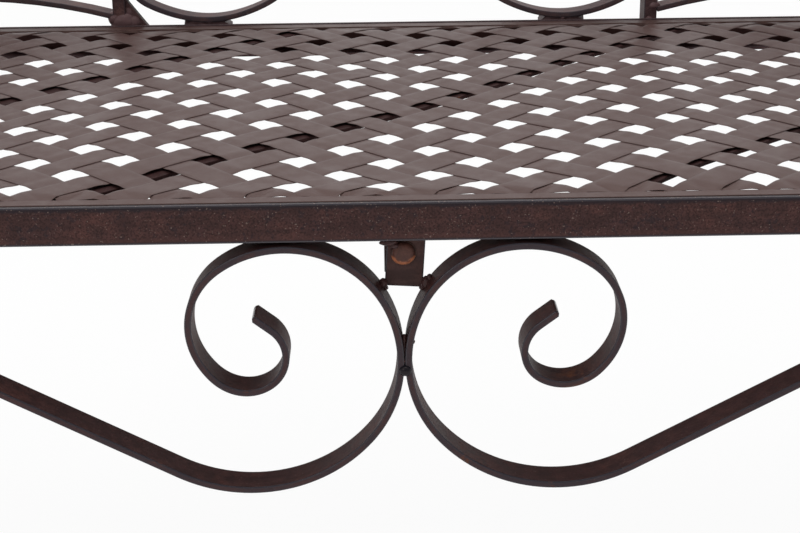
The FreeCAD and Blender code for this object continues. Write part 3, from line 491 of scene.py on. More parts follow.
def sweep(name, trail, profile, place, material, bevel=0.3, narrow=False):
    """A bar with the profile, along the trail. place maps (along u, along v, depth) to millimetres."""
    reach = [max(abs(entry[0][axis]) for entry in profile) for axis in (0, 1)]
    start, start_heading = trail[0]
    end, end_heading = trail[-1]
    stations = [(start, start_heading, bevel), (start + along(start_heading) * bevel, start_heading, 0)]
    stations += [(point, heading, 0) for point, heading in trail[1:-1]]
    stations += [(end - along(end_heading) * bevel, end_heading, 0), (end, end_heading, bevel)]
    points = []
    edges = []
    flats = []
    for station, heading, inset in stations:
        side = along(heading + 90)
        for (across, deep), edge, normal in profile:
            shrunk = across * (1 - inset / reach[0])
            spot = station + side * shrunk
            points.append(place(spot.x, spot.y, deep * (1 - inset / reach[1])))
            edges.append(1.0 if inset else edge)
            flats.append(abs(normal.y) if narrow else 0.0)
    faces = tube_faces(len(profile), len(stations))
    mesh = mesh_of(name, points, faces, edge=edges, narrow=flats)
    return piece_of(name, mesh, material, [name])


# band is how far the worn strip of each edge reaches
FLAT_BAR = rounded(rectangle(BAR_THICK, BAR_DEPTH), radius=0.8, band=1.9)
BACK_BAR = rounded(rectangle(BACK_BAR_THICK, BACK_BAR_DEPTH), radius=0.9, band=2.1)


def apron_place(sign):
    """The upright plane of the apron, in which the bars' front edges are flush with the seat's."""
    return lambda u, v, b: Vector((sign * u, FRONT + BAR_DEPTH / 2 + b, v))


def side_place(sign):
    """The plane of a side frame: u runs back from the front face, v is up."""
    return lambda u, v, b: Vector((sign * (LEG_MIDDLE + b), FRONT + u, v))


def back_place(sign):
    """The raked plane of the back: v is measured up the rake from the bottom rail's middle."""
    lean = math.radians(RAKE)
    sine = math.sin(lean)
    cosine = math.cos(lean)
    return lambda u, v, b: Vector((
        sign * u, FRONT + PIVOT_DEPTH + v * sine - b * cosine, PIVOT_LEVEL + v * cosine + b * sine))


# Seat frame: mitred angle iron, and the border of the woven panel

def smooth_step(value):
    value = min(1.0, max(0.0, value))
    return value * value * (3 - 2 * value)


RAIL_LIFT = 0.9
LIP_LIFT = 0.2
LIFT_REACH = 200


def lift(y, most):
    """The seat isn't quite level: it rises a little towards the back."""
    return most * smooth_step((y - FRONT - SEAT_DEPTH + LIFT_REACH) / LIFT_REACH)


def mitred(name, profile, length, turn, middle, level, material, raised):
    """A profile of (inward, up) along one side of the seat, cut at 45 degrees at both ends."""
    facing = Matrix.Rotation(math.radians(turn), 3, "Z")
    points = []
    edges = []
    spans = 24
    for step in range(spans + 1):
        share = 2 * step / spans - 1
        for (inward, up), edge, _ in profile:
            local = Vector((share * (length / 2 - inward), inward, 0))
            spot = facing @ local + Vector((middle[0], middle[1], level + up))
            if up > RAIL / 2:
                spot.z += lift(spot.y, raised)
            points.append(spot)
            edges.append(edge)
    mesh = mesh_of(name, points, tube_faces(len(profile), spans + 1), edge=edges)
    return piece_of(name, mesh, material, [name])


RAIL_PROFILE = rounded([
    (0, 0), (RAIL, 0), (RAIL, RAIL_WALL), (RAIL_WALL, RAIL_WALL), (RAIL_WALL, RAIL), (0, RAIL)],
    radius=0.7, band=3.6)
lip_tall = RAIL - RAIL_WALL
lip_start = RAIL_WALL + GROOVE
# The back border shows wider than the others, over the ends of the straps
LIP_COVER = {"front": 0, "right": 0, "back": 3.5, "left": 0}


def lip_profile(inside):
    return rounded([
        (lip_start, 0), (lip_start + LIP_WALL, 0), (lip_start + LIP_WALL, lip_tall - LIP_WALL),
        (inside, lip_tall - LIP_WALL), (inside, lip_tall), (lip_start, lip_tall)], radius=0.5, band=1.2)


seat_middle = FRONT + SEAT_DEPTH / 2
for label, length, turn, middle in (
        ("front", SEAT_WIDTH, 0, (0, FRONT)), ("right", SEAT_DEPTH, 90, (HALF, seat_middle)),
        ("back", SEAT_WIDTH, 180, (0, FRONT + SEAT_DEPTH)), ("left", SEAT_DEPTH, 270, (-HALF, seat_middle))):
    mitred(f"seat_rail_{label}", RAIL_PROFILE, length, turn, middle, RAIL_UNDER,
           back_paint if label == "back" else front_paint, RAIL_LIFT)
    mitred(f"seat_edge_{label}", lip_profile(LIP_INSIDE + LIP_COVER[label]), length, turn, middle,
           RAIL_UNDER + RAIL_WALL, lip_paint, LIP_LIFT)


# Woven straps

STRAP_PITCH = 41.45
STRAP_WIDTH = 23.3
STRAP_THICK = 0.28
STRAP_WAVE = 0.37
STRAP_DROOP = 0.30
STRAP_FLAT = 0.45
STRAP_BOW = 0.46
STRAP_BOW_REACH = 8.0
STRAP_CLEAR = 0.03
STRAP_RIM = 18
STRAP_STRAY = 0.25
STEPS_PER_PITCH = 16
CUT_MARGIN = 30
FEWEST_RINGS = 5
WEAVE_PLACE = Vector((-9.2, FRONT + 32.85))
WEAVE_LEVEL = SEAT_TOP - 1.2
WEAVE_SKEW = -0.355
SWELL = 2.45
SWELL_CREST = 185
SWELL_LENGTH = 341
SWELL_FRONT = 77
SWELL_BACK = 185
# Where the panel also stands a little high: across, behind the front, half-widths of the rise, height
PANEL_RISES = (
    (-107, 527, 95, 156, 4.0), (227, 548, 163, 143, 3.7), (188, 0, 91, 83, 4.0),
    (-53, 310, 66, 64, 2.4), (-226, 0, 45, 209, 1.3), (-320, 560, 63, 200, 4.6))
RISE_FRONT = 40
RISE_BACK = 25
# Behind the front border the panel bulges before it comes down to the lip
BULGE = 2.3
BULGE_REACH = 42
BULGE_START = 3.8


def crowned(profile, droop):
    """The profile with its sides bent down by the droop."""
    half = max(point.x for point, _, _ in profile)
    return [(Vector((point.x, point.y - droop * (point.x / half) ** 2)), edge, normal)
            for point, edge, normal in profile]


STRAP_PROFILE = crowned(rounded(rectangle(STRAP_WIDTH, STRAP_THICK), radius=0.13, band=3.4), STRAP_DROOP)
seat_low = Vector((-HALF + LIP_INSIDE + GAP, FRONT + LIP_INSIDE + GAP))
seat_high = Vector((HALF - LIP_INSIDE - GAP, FRONT + SEAT_DEPTH - LIP_INSIDE - GAP))


def eased(value, low, high, low_reach, high_reach):
    """1 in the middle of a span, falling to 0 at both of its ends."""
    return smooth_step((value - low) / low_reach) * smooth_step((high - value) / high_reach)


def swell(spot):
    """The panel isn't quite flat: it swells and sinks along the bench, and lies level at its border."""
    hold = eased(spot.y, seat_low.y, seat_high.y, SWELL_FRONT, SWELL_BACK)
    hold *= eased(spot.x, seat_low.x, seat_high.x, SWELL_FRONT, SWELL_FRONT)
    level = hold * SWELL * math.cos(2 * math.pi * (spot.x - SWELL_CREST) / SWELL_LENGTH)
    hold = eased(spot.y, seat_low.y, seat_high.y, RISE_FRONT, RISE_BACK)
    for across, behind, wide, deep, tall in PANEL_RISES:
        far = ((spot.x - across) / wide) ** 2 + ((spot.y - FRONT - behind) / deep) ** 2
        level += hold * tall * math.exp(-far)
    inside = spot.y - seat_low.y
    level += BULGE * smooth_step(inside / BULGE_START) * (1 - smooth_step(inside / BULGE_REACH))
    return level


def strap_level(lane, rising, run, spot):
    """Height of a strap's middle: over one strap, under the next, bowed between them, level at its ends."""
    phase = math.pi * run / STRAP_PITCH
    quarter = math.pi * lane / 2
    swing = -math.cos(phase - quarter) if rising else math.cos(phase + quarter)
    level = WEAVE_LEVEL + STRAP_WAVE * swing * (1 + STRAP_FLAT) / (1 + STRAP_FLAT * abs(swing))
    free = abs(math.asin(swing)) * STRAP_PITCH / math.pi
    level += STRAP_BOW * math.cos(math.pi / 2 * min(1.0, free / STRAP_BOW_REACH)) ** 2
    limit = SEAT_TOP - STRAP_THICK / 2 - STRAP_CLEAR
    if level > limit:
        rim = min(spot.x - seat_low.x, seat_high.x - spot.x, spot.y - seat_low.y, seat_high.y - spot.y)
        level = limit + (level - limit) * smooth_step(rim / STRAP_RIM)
    return level + swell(spot)


def clipped(mesh, low, high):
    """Cuts a mesh to a rectangle in plan and closes the cuts."""
    bm = bmesh.new()
    bm.from_mesh(mesh)
    for corner, direction in ((low, (-1, 0, 0)), (low, (0, -1, 0)), (high, (1, 0, 0)), (high, (0, 1, 0))):
        everything = bm.verts[:] + bm.edges[:] + bm.faces[:]
        cut = bmesh.ops.bisect_plane(
            bm, geom=everything, plane_co=Vector((corner.x, corner.y, 0)) * MM, plane_no=Vector(direction),
            clear_outer=True)
        rims = [item for item in cut["geom_cut"] if isinstance(item, bmesh.types.BMEdge)]
        bmesh.ops.edgeloop_fill(bm, edges=rims)
    return filled(mesh, bm)


def strips(name, profile, lanes, turn, step, low, high):
    """Strips that cross the seat, each a run of rings of the profile, cut to a rectangle in plan.

    A lane has an origin, an offset across, and a function that gives its height at a run and spot."""
    reach = int((SEAT_WIDTH + SEAT_DEPTH) / step)
    points = []
    faces = []
    edges = []
    for origin, offset, height in lanes:
        runs = []
        for number in range(-reach, reach + 1):
            spot = origin + turn @ Vector((number * step, offset))
            across = low.x - CUT_MARGIN < spot.x < high.x + CUT_MARGIN
            if across and low.y - CUT_MARGIN < spot.y < high.y + CUT_MARGIN:
                runs.append(number * step)
        if len(runs) < FEWEST_RINGS:
            continue
        faces += tube_faces(len(profile), len(runs), len(points))
        for run in runs:
            for (across, up), edge, _ in profile:
                spot = origin + turn @ Vector((run, offset + across))
                points.append(Vector((spot.x, spot.y, height(run, spot) + up)))
                edges.append(edge)
    return clipped(mesh_of(name, points, faces, edge=edges), low, high)


def weave(name, rising):
    """All straps of one direction. Each lies a little off its lane."""
    chance = random.Random(5 if rising else 9)
    turn = Matrix.Rotation(math.radians((45 if rising else -45) + WEAVE_SKEW), 2)
    reach = 2 * math.ceil((SEAT_WIDTH + SEAT_DEPTH) / STRAP_PITCH) + 1
    lanes = []
    for lane in range(-reach, reach + 1, 2):
        offset = lane * STRAP_PITCH / 2 + chance.uniform(-STRAP_STRAY, STRAP_STRAY)
        lanes.append((WEAVE_PLACE, offset, partial(strap_level, lane, rising)))
    panel = strips(name, STRAP_PROFILE, lanes, turn, STRAP_PITCH / STEPS_PER_PITCH, seat_low, seat_high)
    return piece_of(name, panel, seat_paint, [name])


weave("seat_straps_rising", True)
weave("seat_straps_falling", False)

SUPPORT_WIDTH = 23.4
SUPPORT_SHIFT = -0.7
SUPPORT_THICK = 3
SUPPORT_COUNT = 4
SUPPORT_RUN = 12
# Places of the bars, as shares of the seat's width and depth
SUPPORT_START = 0.0857
SUPPORT_STEP = 0.2155
SUPPORT_INSET = RAIL_WALL + GROOVE + LIP_WALL + GAP
SUPPORT_PROFILE = rounded(rectangle(SUPPORT_WIDTH, SUPPORT_THICK), radius=0.5, band=1.5)
support_low = Vector((-HALF + SUPPORT_INSET, FRONT + SUPPORT_INSET))
support_high = Vector((HALF - SUPPORT_INSET, FRONT + SEAT_DEPTH - SUPPORT_INSET))
support_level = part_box("seat_support_bar_1")[1].z / MM - SUPPORT_THICK / 2
diagonal = Matrix.Rotation(math.radians(45), 2)


def support_height(run, spot):
    return support_level + swell(spot)


for index in range(SUPPORT_COUNT):
    share = (SUPPORT_START + index * SUPPORT_STEP) * (SEAT_WIDTH + SEAT_DEPTH) / 2
    origin = Vector((-HALF + share, FRONT + SEAT_DEPTH - share))
    origin += diagonal @ Vector((0, SUPPORT_SHIFT))
    label = f"seat_support_bar_{index + 1}"
    bar = strips(label, SUPPORT_PROFILE, [(origin, 0, support_height)], diagonal, SUPPORT_RUN,
                 support_low, support_high)
    piece_of(label, bar, hidden_paint, [label])


# Apron

APRON_REACH = 461
APRON_TAB = 36
APRON_BEND = 30
APRON_TOP_GAP = 2.7
CURL_HEADING = 130.7
CURL_RADII = (101, 84.6, 70.6, 47.8, 29.4, 22.2)
CURL_TURNS = (65.8, 101.2, 98.4, 75.2, 112)
CURL_TIP = 14.2


def apron_trail():
    """One apron scroll: a tab under the rail, a bend, a slope and a curl of shrinking arcs."""
    half_bar = BAR_THICK / 2
    probe = Stroke((0, 0), CURL_HEADING)
    second = along(CURL_HEADING - 90) * CURL_RADII[1]
    probe.arc(CURL_RADII[1], -CURL_TURNS[0])
    third = probe.point + along(probe.heading - 90) * CURL_RADII[2]
    shift = Vector((GAP + half_bar + CURL_RADII[1] - second.x,
                    RAIL_UNDER - APRON_TOP_GAP - half_bar - CURL_RADII[2] - third.y))
    first = shift + along(CURL_HEADING - 90) * CURL_RADII[0]
    level = RAIL_UNDER - half_bar
    bend = Vector((APRON_REACH - APRON_TAB / 2, level - APRON_BEND))
    span = first - bend
    apart = APRON_BEND + CURL_RADII[0]
    heading = math.degrees(math.atan2(span.y, span.x) + math.asin(apart / span.length)) % 360
    stroke = Stroke((APRON_REACH + APRON_TAB / 2, level), 180)
    stroke.line(APRON_TAB).arc(APRON_BEND, heading - 180)
    stroke.line(math.sqrt(span.length ** 2 - apart ** 2))
    stroke.arc(CURL_RADII[0], CURL_HEADING - heading)
    for radius, turn in zip(CURL_RADII[1:], CURL_TURNS):
        stroke.arc(radius, -turn)
    return stroke.line(CURL_TIP).trail


# The two scrolls were bent by hand: where each strays, by how much, and how far that reaches
STRAYS = {"right": ((125, 368), (2.2, 0.7), 55), "left": ((101, 314), (-0.6, -2.2), 30)}


def strayed(trail, centre, move, reach):
    """The trail, moved a little near the centre."""
    moved = []
    for point, heading in trail:
        near = math.exp(-((point - Vector(centre)).length / reach) ** 2)
        moved.append((point + Vector(move) * near, heading))
    return moved


for side, sign in SIDES.items():
    sweep(f"apron_scroll_{side}", strayed(apron_trail(), *STRAYS[side]), FLAT_BAR, apron_place(sign),
          bar_paint, SCROLL_BEVEL, narrow=True)


def block(name, low, high, bevel, material, place=None):
    """A box with rounded edges, between two corners in millimetres."""
    bm = bmesh.new()
    bmesh.ops.create_cube(bm, size=1.0)
    low = Vector(low)
    high = Vector(high)
    layer = bm.verts.layers.float.new("edge")
    for vertex in bm.verts:
        vertex.co = Vector([low[k] if vertex.co[k] < 0 else high[k] for k in range(3)])
        vertex[layer] = 1.0
    bmesh.ops.bevel(bm, geom=bm.edges[:], offset=bevel, segments=3, profile=0.5, affect="EDGES")
    for face in sorted(bm.faces, key=lambda item: -item.calc_area())[:6]:
        bmesh.ops.inset_individual(bm, faces=[face], thickness=min(1.6, bevel * 2), depth=0.0)
        for vertex in face.verts:
            vertex[layer] = 0.0
    for vertex in bm.verts:
        vertex.co = (place(*vertex.co) if place else vertex.co) * MM
    return piece_of(name, filled(bpy.data.meshes.new(name), bm), material, [name])


PLATE_TILT = 3.6
plate_low, plate_high = (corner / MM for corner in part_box("apron_plate"))


def tilted(x, y, z):
    """The plate leans over its lower right corner, and stays under the rail."""
    angle = math.radians(PLATE_TILT)
    across = x - plate_high.x
    up = z - plate_low.z
    turned = Vector((plate_high.x + across * math.cos(angle) + up * math.sin(angle), y,
                     plate_low.z - across * math.sin(angle) + up * math.cos(angle)))
    turned.z = min(turned.z, plate_high.z)
    return turned


block("apron_plate", plate_low, plate_high, 0.5, plate_paint, tilted)
lug_low, lug_high = (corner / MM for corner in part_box("apron_lug"))
block("apron_lug", lug_low, lug_high, 0.5, frame_paint)


def bolts(name, places, length):
    """Domed bolts: a rounded rim under a shallow dome, and a shank.

    The outline gives the radius, the height and the edge value of each of its points, which sets the wear,
    the darker rim and the painted rim highlight."""
    outline = [(0.0, -4.0, 0.0), (2.0, -3.95, 0.0), (4.2, -3.75, 0.0), (5.8, -3.4, 0.05), (6.7, -2.75, 0.3),
               (7.15, -1.9, 0.6), (7.5, -1.35, 0.8), (7.85, -1.0, 1.0), (8.0, -0.5, 1.0), (7.5, 0.0, 0.6),
               (3.0, 0.0, 0.0), (3.0, length - 0.6, 0.0), (2.4, length, 0.0), (0.0, length, 0.0)]
    turns = 40
    points = []
    faces = []
    edges = []
    for spot, axis in places:
        base = len(points)
        aim = Vector(axis).to_track_quat("Z", "Y").to_matrix()
        rings = outline[1:-1]
        for radius, up, edge in rings:
            for step in range(turns):
                angle = 2 * math.pi * step / turns
                local = Vector((radius * math.cos(angle), radius * math.sin(angle), up))
                points.append(Vector(spot) + aim @ local)
                edges.append(edge)
        # Fans of triangles close the dome and the shank's end
        *walls, first_cap, last_cap = tube_faces(turns, len(rings), base)
        faces += walls
        for (_, up, edge), cap in ((outline[0], first_cap), (outline[-1], last_cap)):
            faces += [(len(points), corner, cap[index - 1]) for index, corner in enumerate(cap)]
            points.append(Vector(spot) + aim @ Vector((0, 0, up)))
            edges.append(edge)
    mesh = mesh_of(name, points, faces, edge=edges)
    return piece_of(name, mesh, bolt_paint, [name])


PLATE_FRONT = FRONT + 17.5
BOLT_LEVEL = RAIL_UNDER - 14
END_BOLT_DEPTH = FRONT + 13.6
SEAT_BOLT_LEVEL = SEAT_TOP - RAIL / 2
SEAT_BOLT_INSET = 70
bolts("apron_bolt", [((0, PLATE_FRONT, BOLT_LEVEL), (0, 1, 0))], length=13)
bolts("apron_end_bolts", [
    ((sign * APRON_REACH, END_BOLT_DEPTH, RAIL_UNDER - BAR_THICK), (0, 0, 1))
    for sign in SIDES.values()], length=14.5)
bolts("seat_bolts", [
    ((sign * (HALF + TUBE), FRONT + depth, SEAT_BOLT_LEVEL), (-sign, 0, 0))
    for sign in SIDES.values() for depth in (SEAT_BOLT_INSET, SEAT_DEPTH - SEAT_BOLT_INSET)], length=39.6)
bolts("back_bolts", [
    (back_place(sign)(HALF + TUBE, level, 0), (-sign, 0, 0))
    for sign in SIDES.values() for level in (0, BACK_HEIGHT)], length=39.2)


# Side frames

SQUARE_TUBE = rounded(rectangle(TUBE, TUBE), radius=2.2, band=4.2)
ARM_PROFILE = rounded(rectangle(ARM_THICK, ARM_WIDTH), radius=1.4, band=3.0)
CAP = 5
# The feet and caps reach this far over the ends of the tubes
SEAM = 0.2
POST_BEND = 60
POST_ABOVE = 30
ARM_OVERHANG = 30
ARM_ROLL = 24
ARM_CURL = 14.4
SIDE_FLAT = 70
SIDE_TURN = 255
arm_middle = (TUBE + SEAT_DEPTH) / 2

for side, sign in SIDES.items():
    place = side_place(sign)
    leg = Stroke((TUBE / 2, CAP), 90).line(ARM_UNDER - CAP)
    sweep(f"front_leg_{side}", leg.trail, SQUARE_TUBE, place, frame_paint)
    tangent = POST_BEND * math.tan(math.radians(RAKE / 2))
    post_top = BACK_HEIGHT + POST_ABOVE
    post = Stroke((PIVOT_DEPTH, CAP), 90).line(PIVOT_LEVEL - CAP - tangent)
    post.arc(POST_BEND, -RAKE).line(post_top - tangent)
    sweep(f"rear_post_{side}", post.trail, SQUARE_TUBE, place, frame_paint)
    beam = Stroke((TUBE, SEAT_TOP - TUBE / 2), 0).line(SEAT_DEPTH - TUBE)
    sweep(f"side_beam_{side}", beam.trail, SQUARE_TUBE, place, frame_paint)

    lean = math.radians(RAKE)
    rear = PIVOT_DEPTH + (ARM_UNDER - PIVOT_LEVEL) * math.tan(lean) - TUBE / 2 / math.cos(lean) - GAP
    arm = Stroke((rear, ARM_UNDER + ARM_THICK / 2), 180).line(rear + ARM_OVERHANG)
    arm.arc(ARM_ROLL, 180).arc(ARM_CURL, 120).line(ARM_THICK)
    sweep(f"armrest_{side}", arm.trail, ARM_PROFILE, place, bar_paint, bevel=1.2, narrow=True)

    radius = (ARM_UNDER - SEAT_TOP) / 2 - GAP - BAR_THICK / 2
    scroll = Stroke((arm_middle - SIDE_FLAT, SEAT_TOP + GAP + BAR_THICK / 2), 0).line(SIDE_FLAT)
    scroll.arc(radius, SIDE_TURN).curl(radius, 1, 3)
    sweep(f"side_scroll_{side}", scroll.trail, FLAT_BAR, place, bar_paint, SCROLL_BEVEL, narrow=True)

    for end in ("front", "rear"):
        label = f"foot_{end}_{side}"
        low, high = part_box(label)
        foot_top = (high.x / MM, high.y / MM, CAP + SEAM)
        block(label, low / MM, foot_top, 1.2, foot_plastic)
    block(f"post_cap_{side}", (LEG_MIDDLE - TUBE / 2, post_top - SEAM, -TUBE / 2),
          (LEG_MIDDLE + TUBE / 2, post_top + CAP, TUBE / 2), 1.6, foot_plastic,
          back_place(sign))


# Back

BACK_SQUARE = rounded(rectangle(BACK_TUBE, BACK_TUBE), radius=1.8, band=3.6)
RAIL_TOP = BACK_TUBE / 2 + GAP
CREST_ANGLE = 14
CREST_BEND = 250
CREST_END = 60
crest_run = HALF - GAP - CREST_END
crest_radius = crest_run / math.sin(math.radians(CREST_ANGLE)) - CREST_BEND
crest_rise = crest_run * math.tan(math.radians(CREST_ANGLE / 2))
crest_middle = BACK_HEIGHT + crest_rise - crest_radius
BACK_SHIFT = -5.5
STEM = 249.5
STEM_WIDTH = 12
STEM_PROFILE = rounded(rectangle(STEM_WIDTH, BACK_BAR_DEPTH), radius=1.0, band=2.4)
# The weld under each inner scroll. Its foot and neck, the deepest of the hollow, are shares of its height
SADDLE_WIDTHS = {"right": 33, "left": 35}
SADDLE_SHIFTS = {"right": 0, "left": 1.2}
SADDLE_BITE = 0.5
SADDLE_TAPER = 5
SADDLE_END_DEPTH = 0.84
SADDLE_SQUARE = 1.35
SADDLE_FOOT = 0.55
SADDLE_NECK = 0.78
SADDLE_FLARE = 5.4
SADDLE_HOLLOW = 1.2
SADDLE_ROUGH = 0.9
SADDLE_GRAIN = 0.21
PAD_HEIGHT = 7.1
FOOT_ANGLE = 35
INNER_PLACE = 166.7
INNER_RADIUS = 100
# On both sides of its lowest point the inner scroll is bent a little flatter
SAG = 6.0
SAG_PLACE = 78
SAG_LEVEL = 38
SAG_REACH = 36
INNER_TOP_PLACE = 128
INNER_TOP_RADIUS = 56
OUTER_RADIUS = 78
OUTER_SIDE_RADIUS = 47
OUTER_LEAN = 5
OUTER_TOP_RADIUS = 48
ARCH_LIFT = 11.2
ARCH_RISE = 18.7


def crest_under(across, room):
    """Height of the crest rail's lower side at a place across, less the room."""
    return crest_middle + math.sqrt((crest_radius - BACK_TUBE / 2 - GAP - room) ** 2 - across ** 2)


plain_back = back_place(1)
bottom = Stroke((-HALF + GAP, 0), 0).line(SEAT_WIDTH - 2 * GAP)
sweep("back_bottom_rail", bottom.trail, BACK_SQUARE, plain_back, frame_paint)
crest = Stroke((-HALF + GAP, BACK_HEIGHT), 0).line(CREST_END).arc(CREST_BEND, CREST_ANGLE)
crest.arc(crest_radius, -2 * CREST_ANGLE).arc(CREST_BEND, CREST_ANGLE).line(CREST_END)
sweep("back_crest_rail", crest.trail, BACK_SQUARE, plain_back, frame_paint)


def c_scroll(place, floor, outside, foot, side_radius, top_place, top_outside):
    """A bar with a large curl below and a small one above."""
    half_bar = BACK_BAR_THICK / 2
    radius = outside - half_bar
    top_radius = top_outside - half_bar
    lower = Vector((place, floor + outside))
    upper = Vector((top_place, crest_under(top_place, top_outside)))
    span = upper - lower
    heading = math.degrees(math.atan2(span.y, span.x) - math.asin((radius - top_radius) / span.length))
    lowest = lower - Vector((0, radius))
    rise = Stroke(lowest, 180).arc(radius, heading - 180)
    rise.line(math.sqrt(span.length ** 2 - (radius - top_radius) ** 2))
    rise.arc(top_radius, -200).curl(top_radius, -1, 2)
    curl = Stroke(lowest, 0).arc(radius, foot).arc(side_radius, 180 - foot).curl(side_radius, 1, 2)
    return curl.turned_back() + rise.trail[1:]


def saddle(name, middle, floor, radius, width, shift, place):
    """Weld metal that fills the wedge under a scroll's lowest arc, down to the bottom rail.

    Its cross-section is a rounded box, and its ends are hollow."""
    stations = 40
    turns = 32
    points = []
    for step in range(stations + 1):
        run = (2 * step / stations - 1) * width / 2
        across = run + shift
        arc = floor + radius - math.sqrt(radius ** 2 - across ** 2) + SADDLE_BITE
        ends = smooth_step((width / 2 - abs(run)) / SADDLE_TAPER)
        half_deep = BACK_TUBE / 2 * (SADDLE_END_DEPTH + (1 - SADDLE_END_DEPTH) * ends)
        for turn in range(turns):
            angle = 2 * math.pi * turn / turns
            deep = half_deep * max(-1, min(1, SADDLE_SQUARE * math.cos(angle)))
            share = 0.5 + 0.5 * max(-1, min(1, SADDLE_SQUARE * math.sin(angle)))
            spot = Vector((middle + across, RAIL_TOP - GAP + (arc - RAIL_TOP) * share, deep))
            spot.z += SADDLE_ROUGH * noise.noise(spot * SADDLE_GRAIN)
            hollow = ((max(share, SADDLE_FOOT) - SADDLE_NECK) / (1 - SADDLE_NECK)) ** 2
            flare = (abs(run) / (width / 2)) ** 8 * (SADDLE_FLARE * hollow - SADDLE_HOLLOW)
            spot.x += flare if run > 0 else -flare
            points.append(place(*spot))
    mesh = mesh_of(name, points, tube_faces(turns, stations + 1))
    return piece_of(name, mesh, back_weld, [name])


for side, sign in SIDES.items():
    place = back_place(sign)
    shift = sign * BACK_SHIFT
    half_bar = BACK_BAR_THICK / 2
    stem_middle = STEM + shift
    stem_inside = stem_middle - STEM_WIDTH / 2
    stem_outside = stem_middle + STEM_WIDTH / 2
    stem = Stroke((stem_middle, RAIL_TOP), 90).line(crest_under(stem_middle, 0) - RAIL_TOP)
    sweep(f"back_stem_{side}", stem.trail, STEM_PROFILE, place, back_paint)

    foot_sine = math.sin(math.radians(FOOT_ANGLE))
    inner_place = INNER_PLACE + shift
    room = stem_inside - GAP - half_bar - inner_place
    inner_side = (room - (INNER_RADIUS - half_bar) * foot_sine) / (1 - foot_sine)
    inner_floor = RAIL_TOP + PAD_HEIGHT + GAP
    inner_trail = c_scroll(inner_place, inner_floor, INNER_RADIUS, FOOT_ANGLE, inner_side,
                           INNER_TOP_PLACE + shift, INNER_TOP_RADIUS)
    for across in (-SAG_PLACE, SAG_PLACE):
        sag_middle = (inner_place + across, inner_floor + SAG_LEVEL)
        inner_trail = strayed(inner_trail, sag_middle, (0, -SAG), SAG_REACH)
    sweep(f"back_scroll_{side}", inner_trail, BACK_BAR, place, back_paint, SCROLL_BEVEL, narrow=True)
    saddle(f"scroll_pad_{side}", inner_place, inner_floor, INNER_RADIUS, SADDLE_WIDTHS[side],
           SADDLE_SHIFTS[side], place)

    arch_start = stem_outside + GAP
    arch_end = HALF - GAP
    chord = arch_end - arch_start
    arch_radius = (chord ** 2 / 4 + ARCH_RISE ** 2) / (2 * ARCH_RISE)
    arch_half = math.degrees(math.asin(chord / 2 / arch_radius))
    arch_level = RAIL_TOP + ARCH_LIFT + half_bar
    arch_trail = Stroke((arch_start, arch_level), arch_half).arc(arch_radius, -2 * arch_half).trail
    sweep(f"back_arch_{side}", arch_trail, BACK_BAR, place, back_paint, narrow=True)
    crown = arch_level + ARCH_RISE + half_bar + GAP
    outer_place = (arch_start + arch_end) / 2
    outer_trail = c_scroll(-outer_place, crown, OUTER_RADIUS, FOOT_ANGLE, OUTER_SIDE_RADIUS,
                           OUTER_LEAN - outer_place, OUTER_TOP_RADIUS)
    sweep(f"back_outer_scroll_{side}", outer_trail, BACK_BAR, back_place(-sign), back_paint, SCROLL_BEVEL,
          narrow=True)


# Welds

def uneven(spot, seed):
    """Noise from -1 to 1 at a spot, another for each seed."""
    return noise.noise(spot + Vector((seed * 7.3, 0, 0)))


def weld(name, ends, radius, seed, place=None):
    """A lumpy bead between two ends, given in millimetres, with closed round caps."""
    first, last = (place(*spot) if place else Vector(spot) for spot in ends)
    length = (last - first).length
    count = max(2, int(length / (radius * 0.28)))
    path = [first.lerp(last, step / count) for step in range(count)] + [last]
    turns = 14
    points = []
    for index, spot in enumerate(path):
        ahead = (path[min(index + 1, count)] - path[max(index - 1, 0)]).normalized()
        side = ahead.cross(Vector((0.31, 0.2, 0.93))).normalized()
        up = ahead.cross(side)
        gone = (spot - first).length
        near_end = min(gone, length + 1e-6 - gone) / radius
        cap = math.sqrt(max(0.02, 1 - (1 - min(1.0, near_end)) ** 2))
        ripple = 0.9 + 0.1 * abs(math.sin(gone / radius * 2.2))
        for step in range(turns):
            angle = 2 * math.pi * step / turns
            spoke = side * math.cos(angle) + up * math.sin(angle)
            wobble = 1 + 0.28 * uneven((spot + spoke * radius) * 0.42, seed)
            points.append(spot + spoke * radius * cap * ripple * wobble)
    mesh = mesh_of(name, points, tube_faces(turns, count + 1))
    return piece_of(name, mesh, weld_paint)


def lump(name, spot, radii, seed, place=None, material=weld_paint, knobbly=0.16):
    """A blob of weld metal round a spot, both in millimetres."""
    bm = bmesh.new()
    bmesh.ops.create_icosphere(bm, subdivisions=4, radius=1.0)
    for vertex in bm.verts:
        swing = 1 + knobbly * uneven(vertex.co * 1.4, seed)
        local = Vector(spot) + Vector([vertex.co[axis] * radii[axis] * swing for axis in range(3)])
        vertex.co = (place(*local) if place else local) * MM
    return piece_of(name, filled(bpy.data.meshes.new(name), bm), material)


for side, sign in SIDES.items():
    loop_top = [(sign * across, FRONT + 19, RAIL_UNDER - 1.6) for across in (70, 102)]
    weld(f"loop_weld_{side}", loop_top, 1.9, seed=2 * sign)
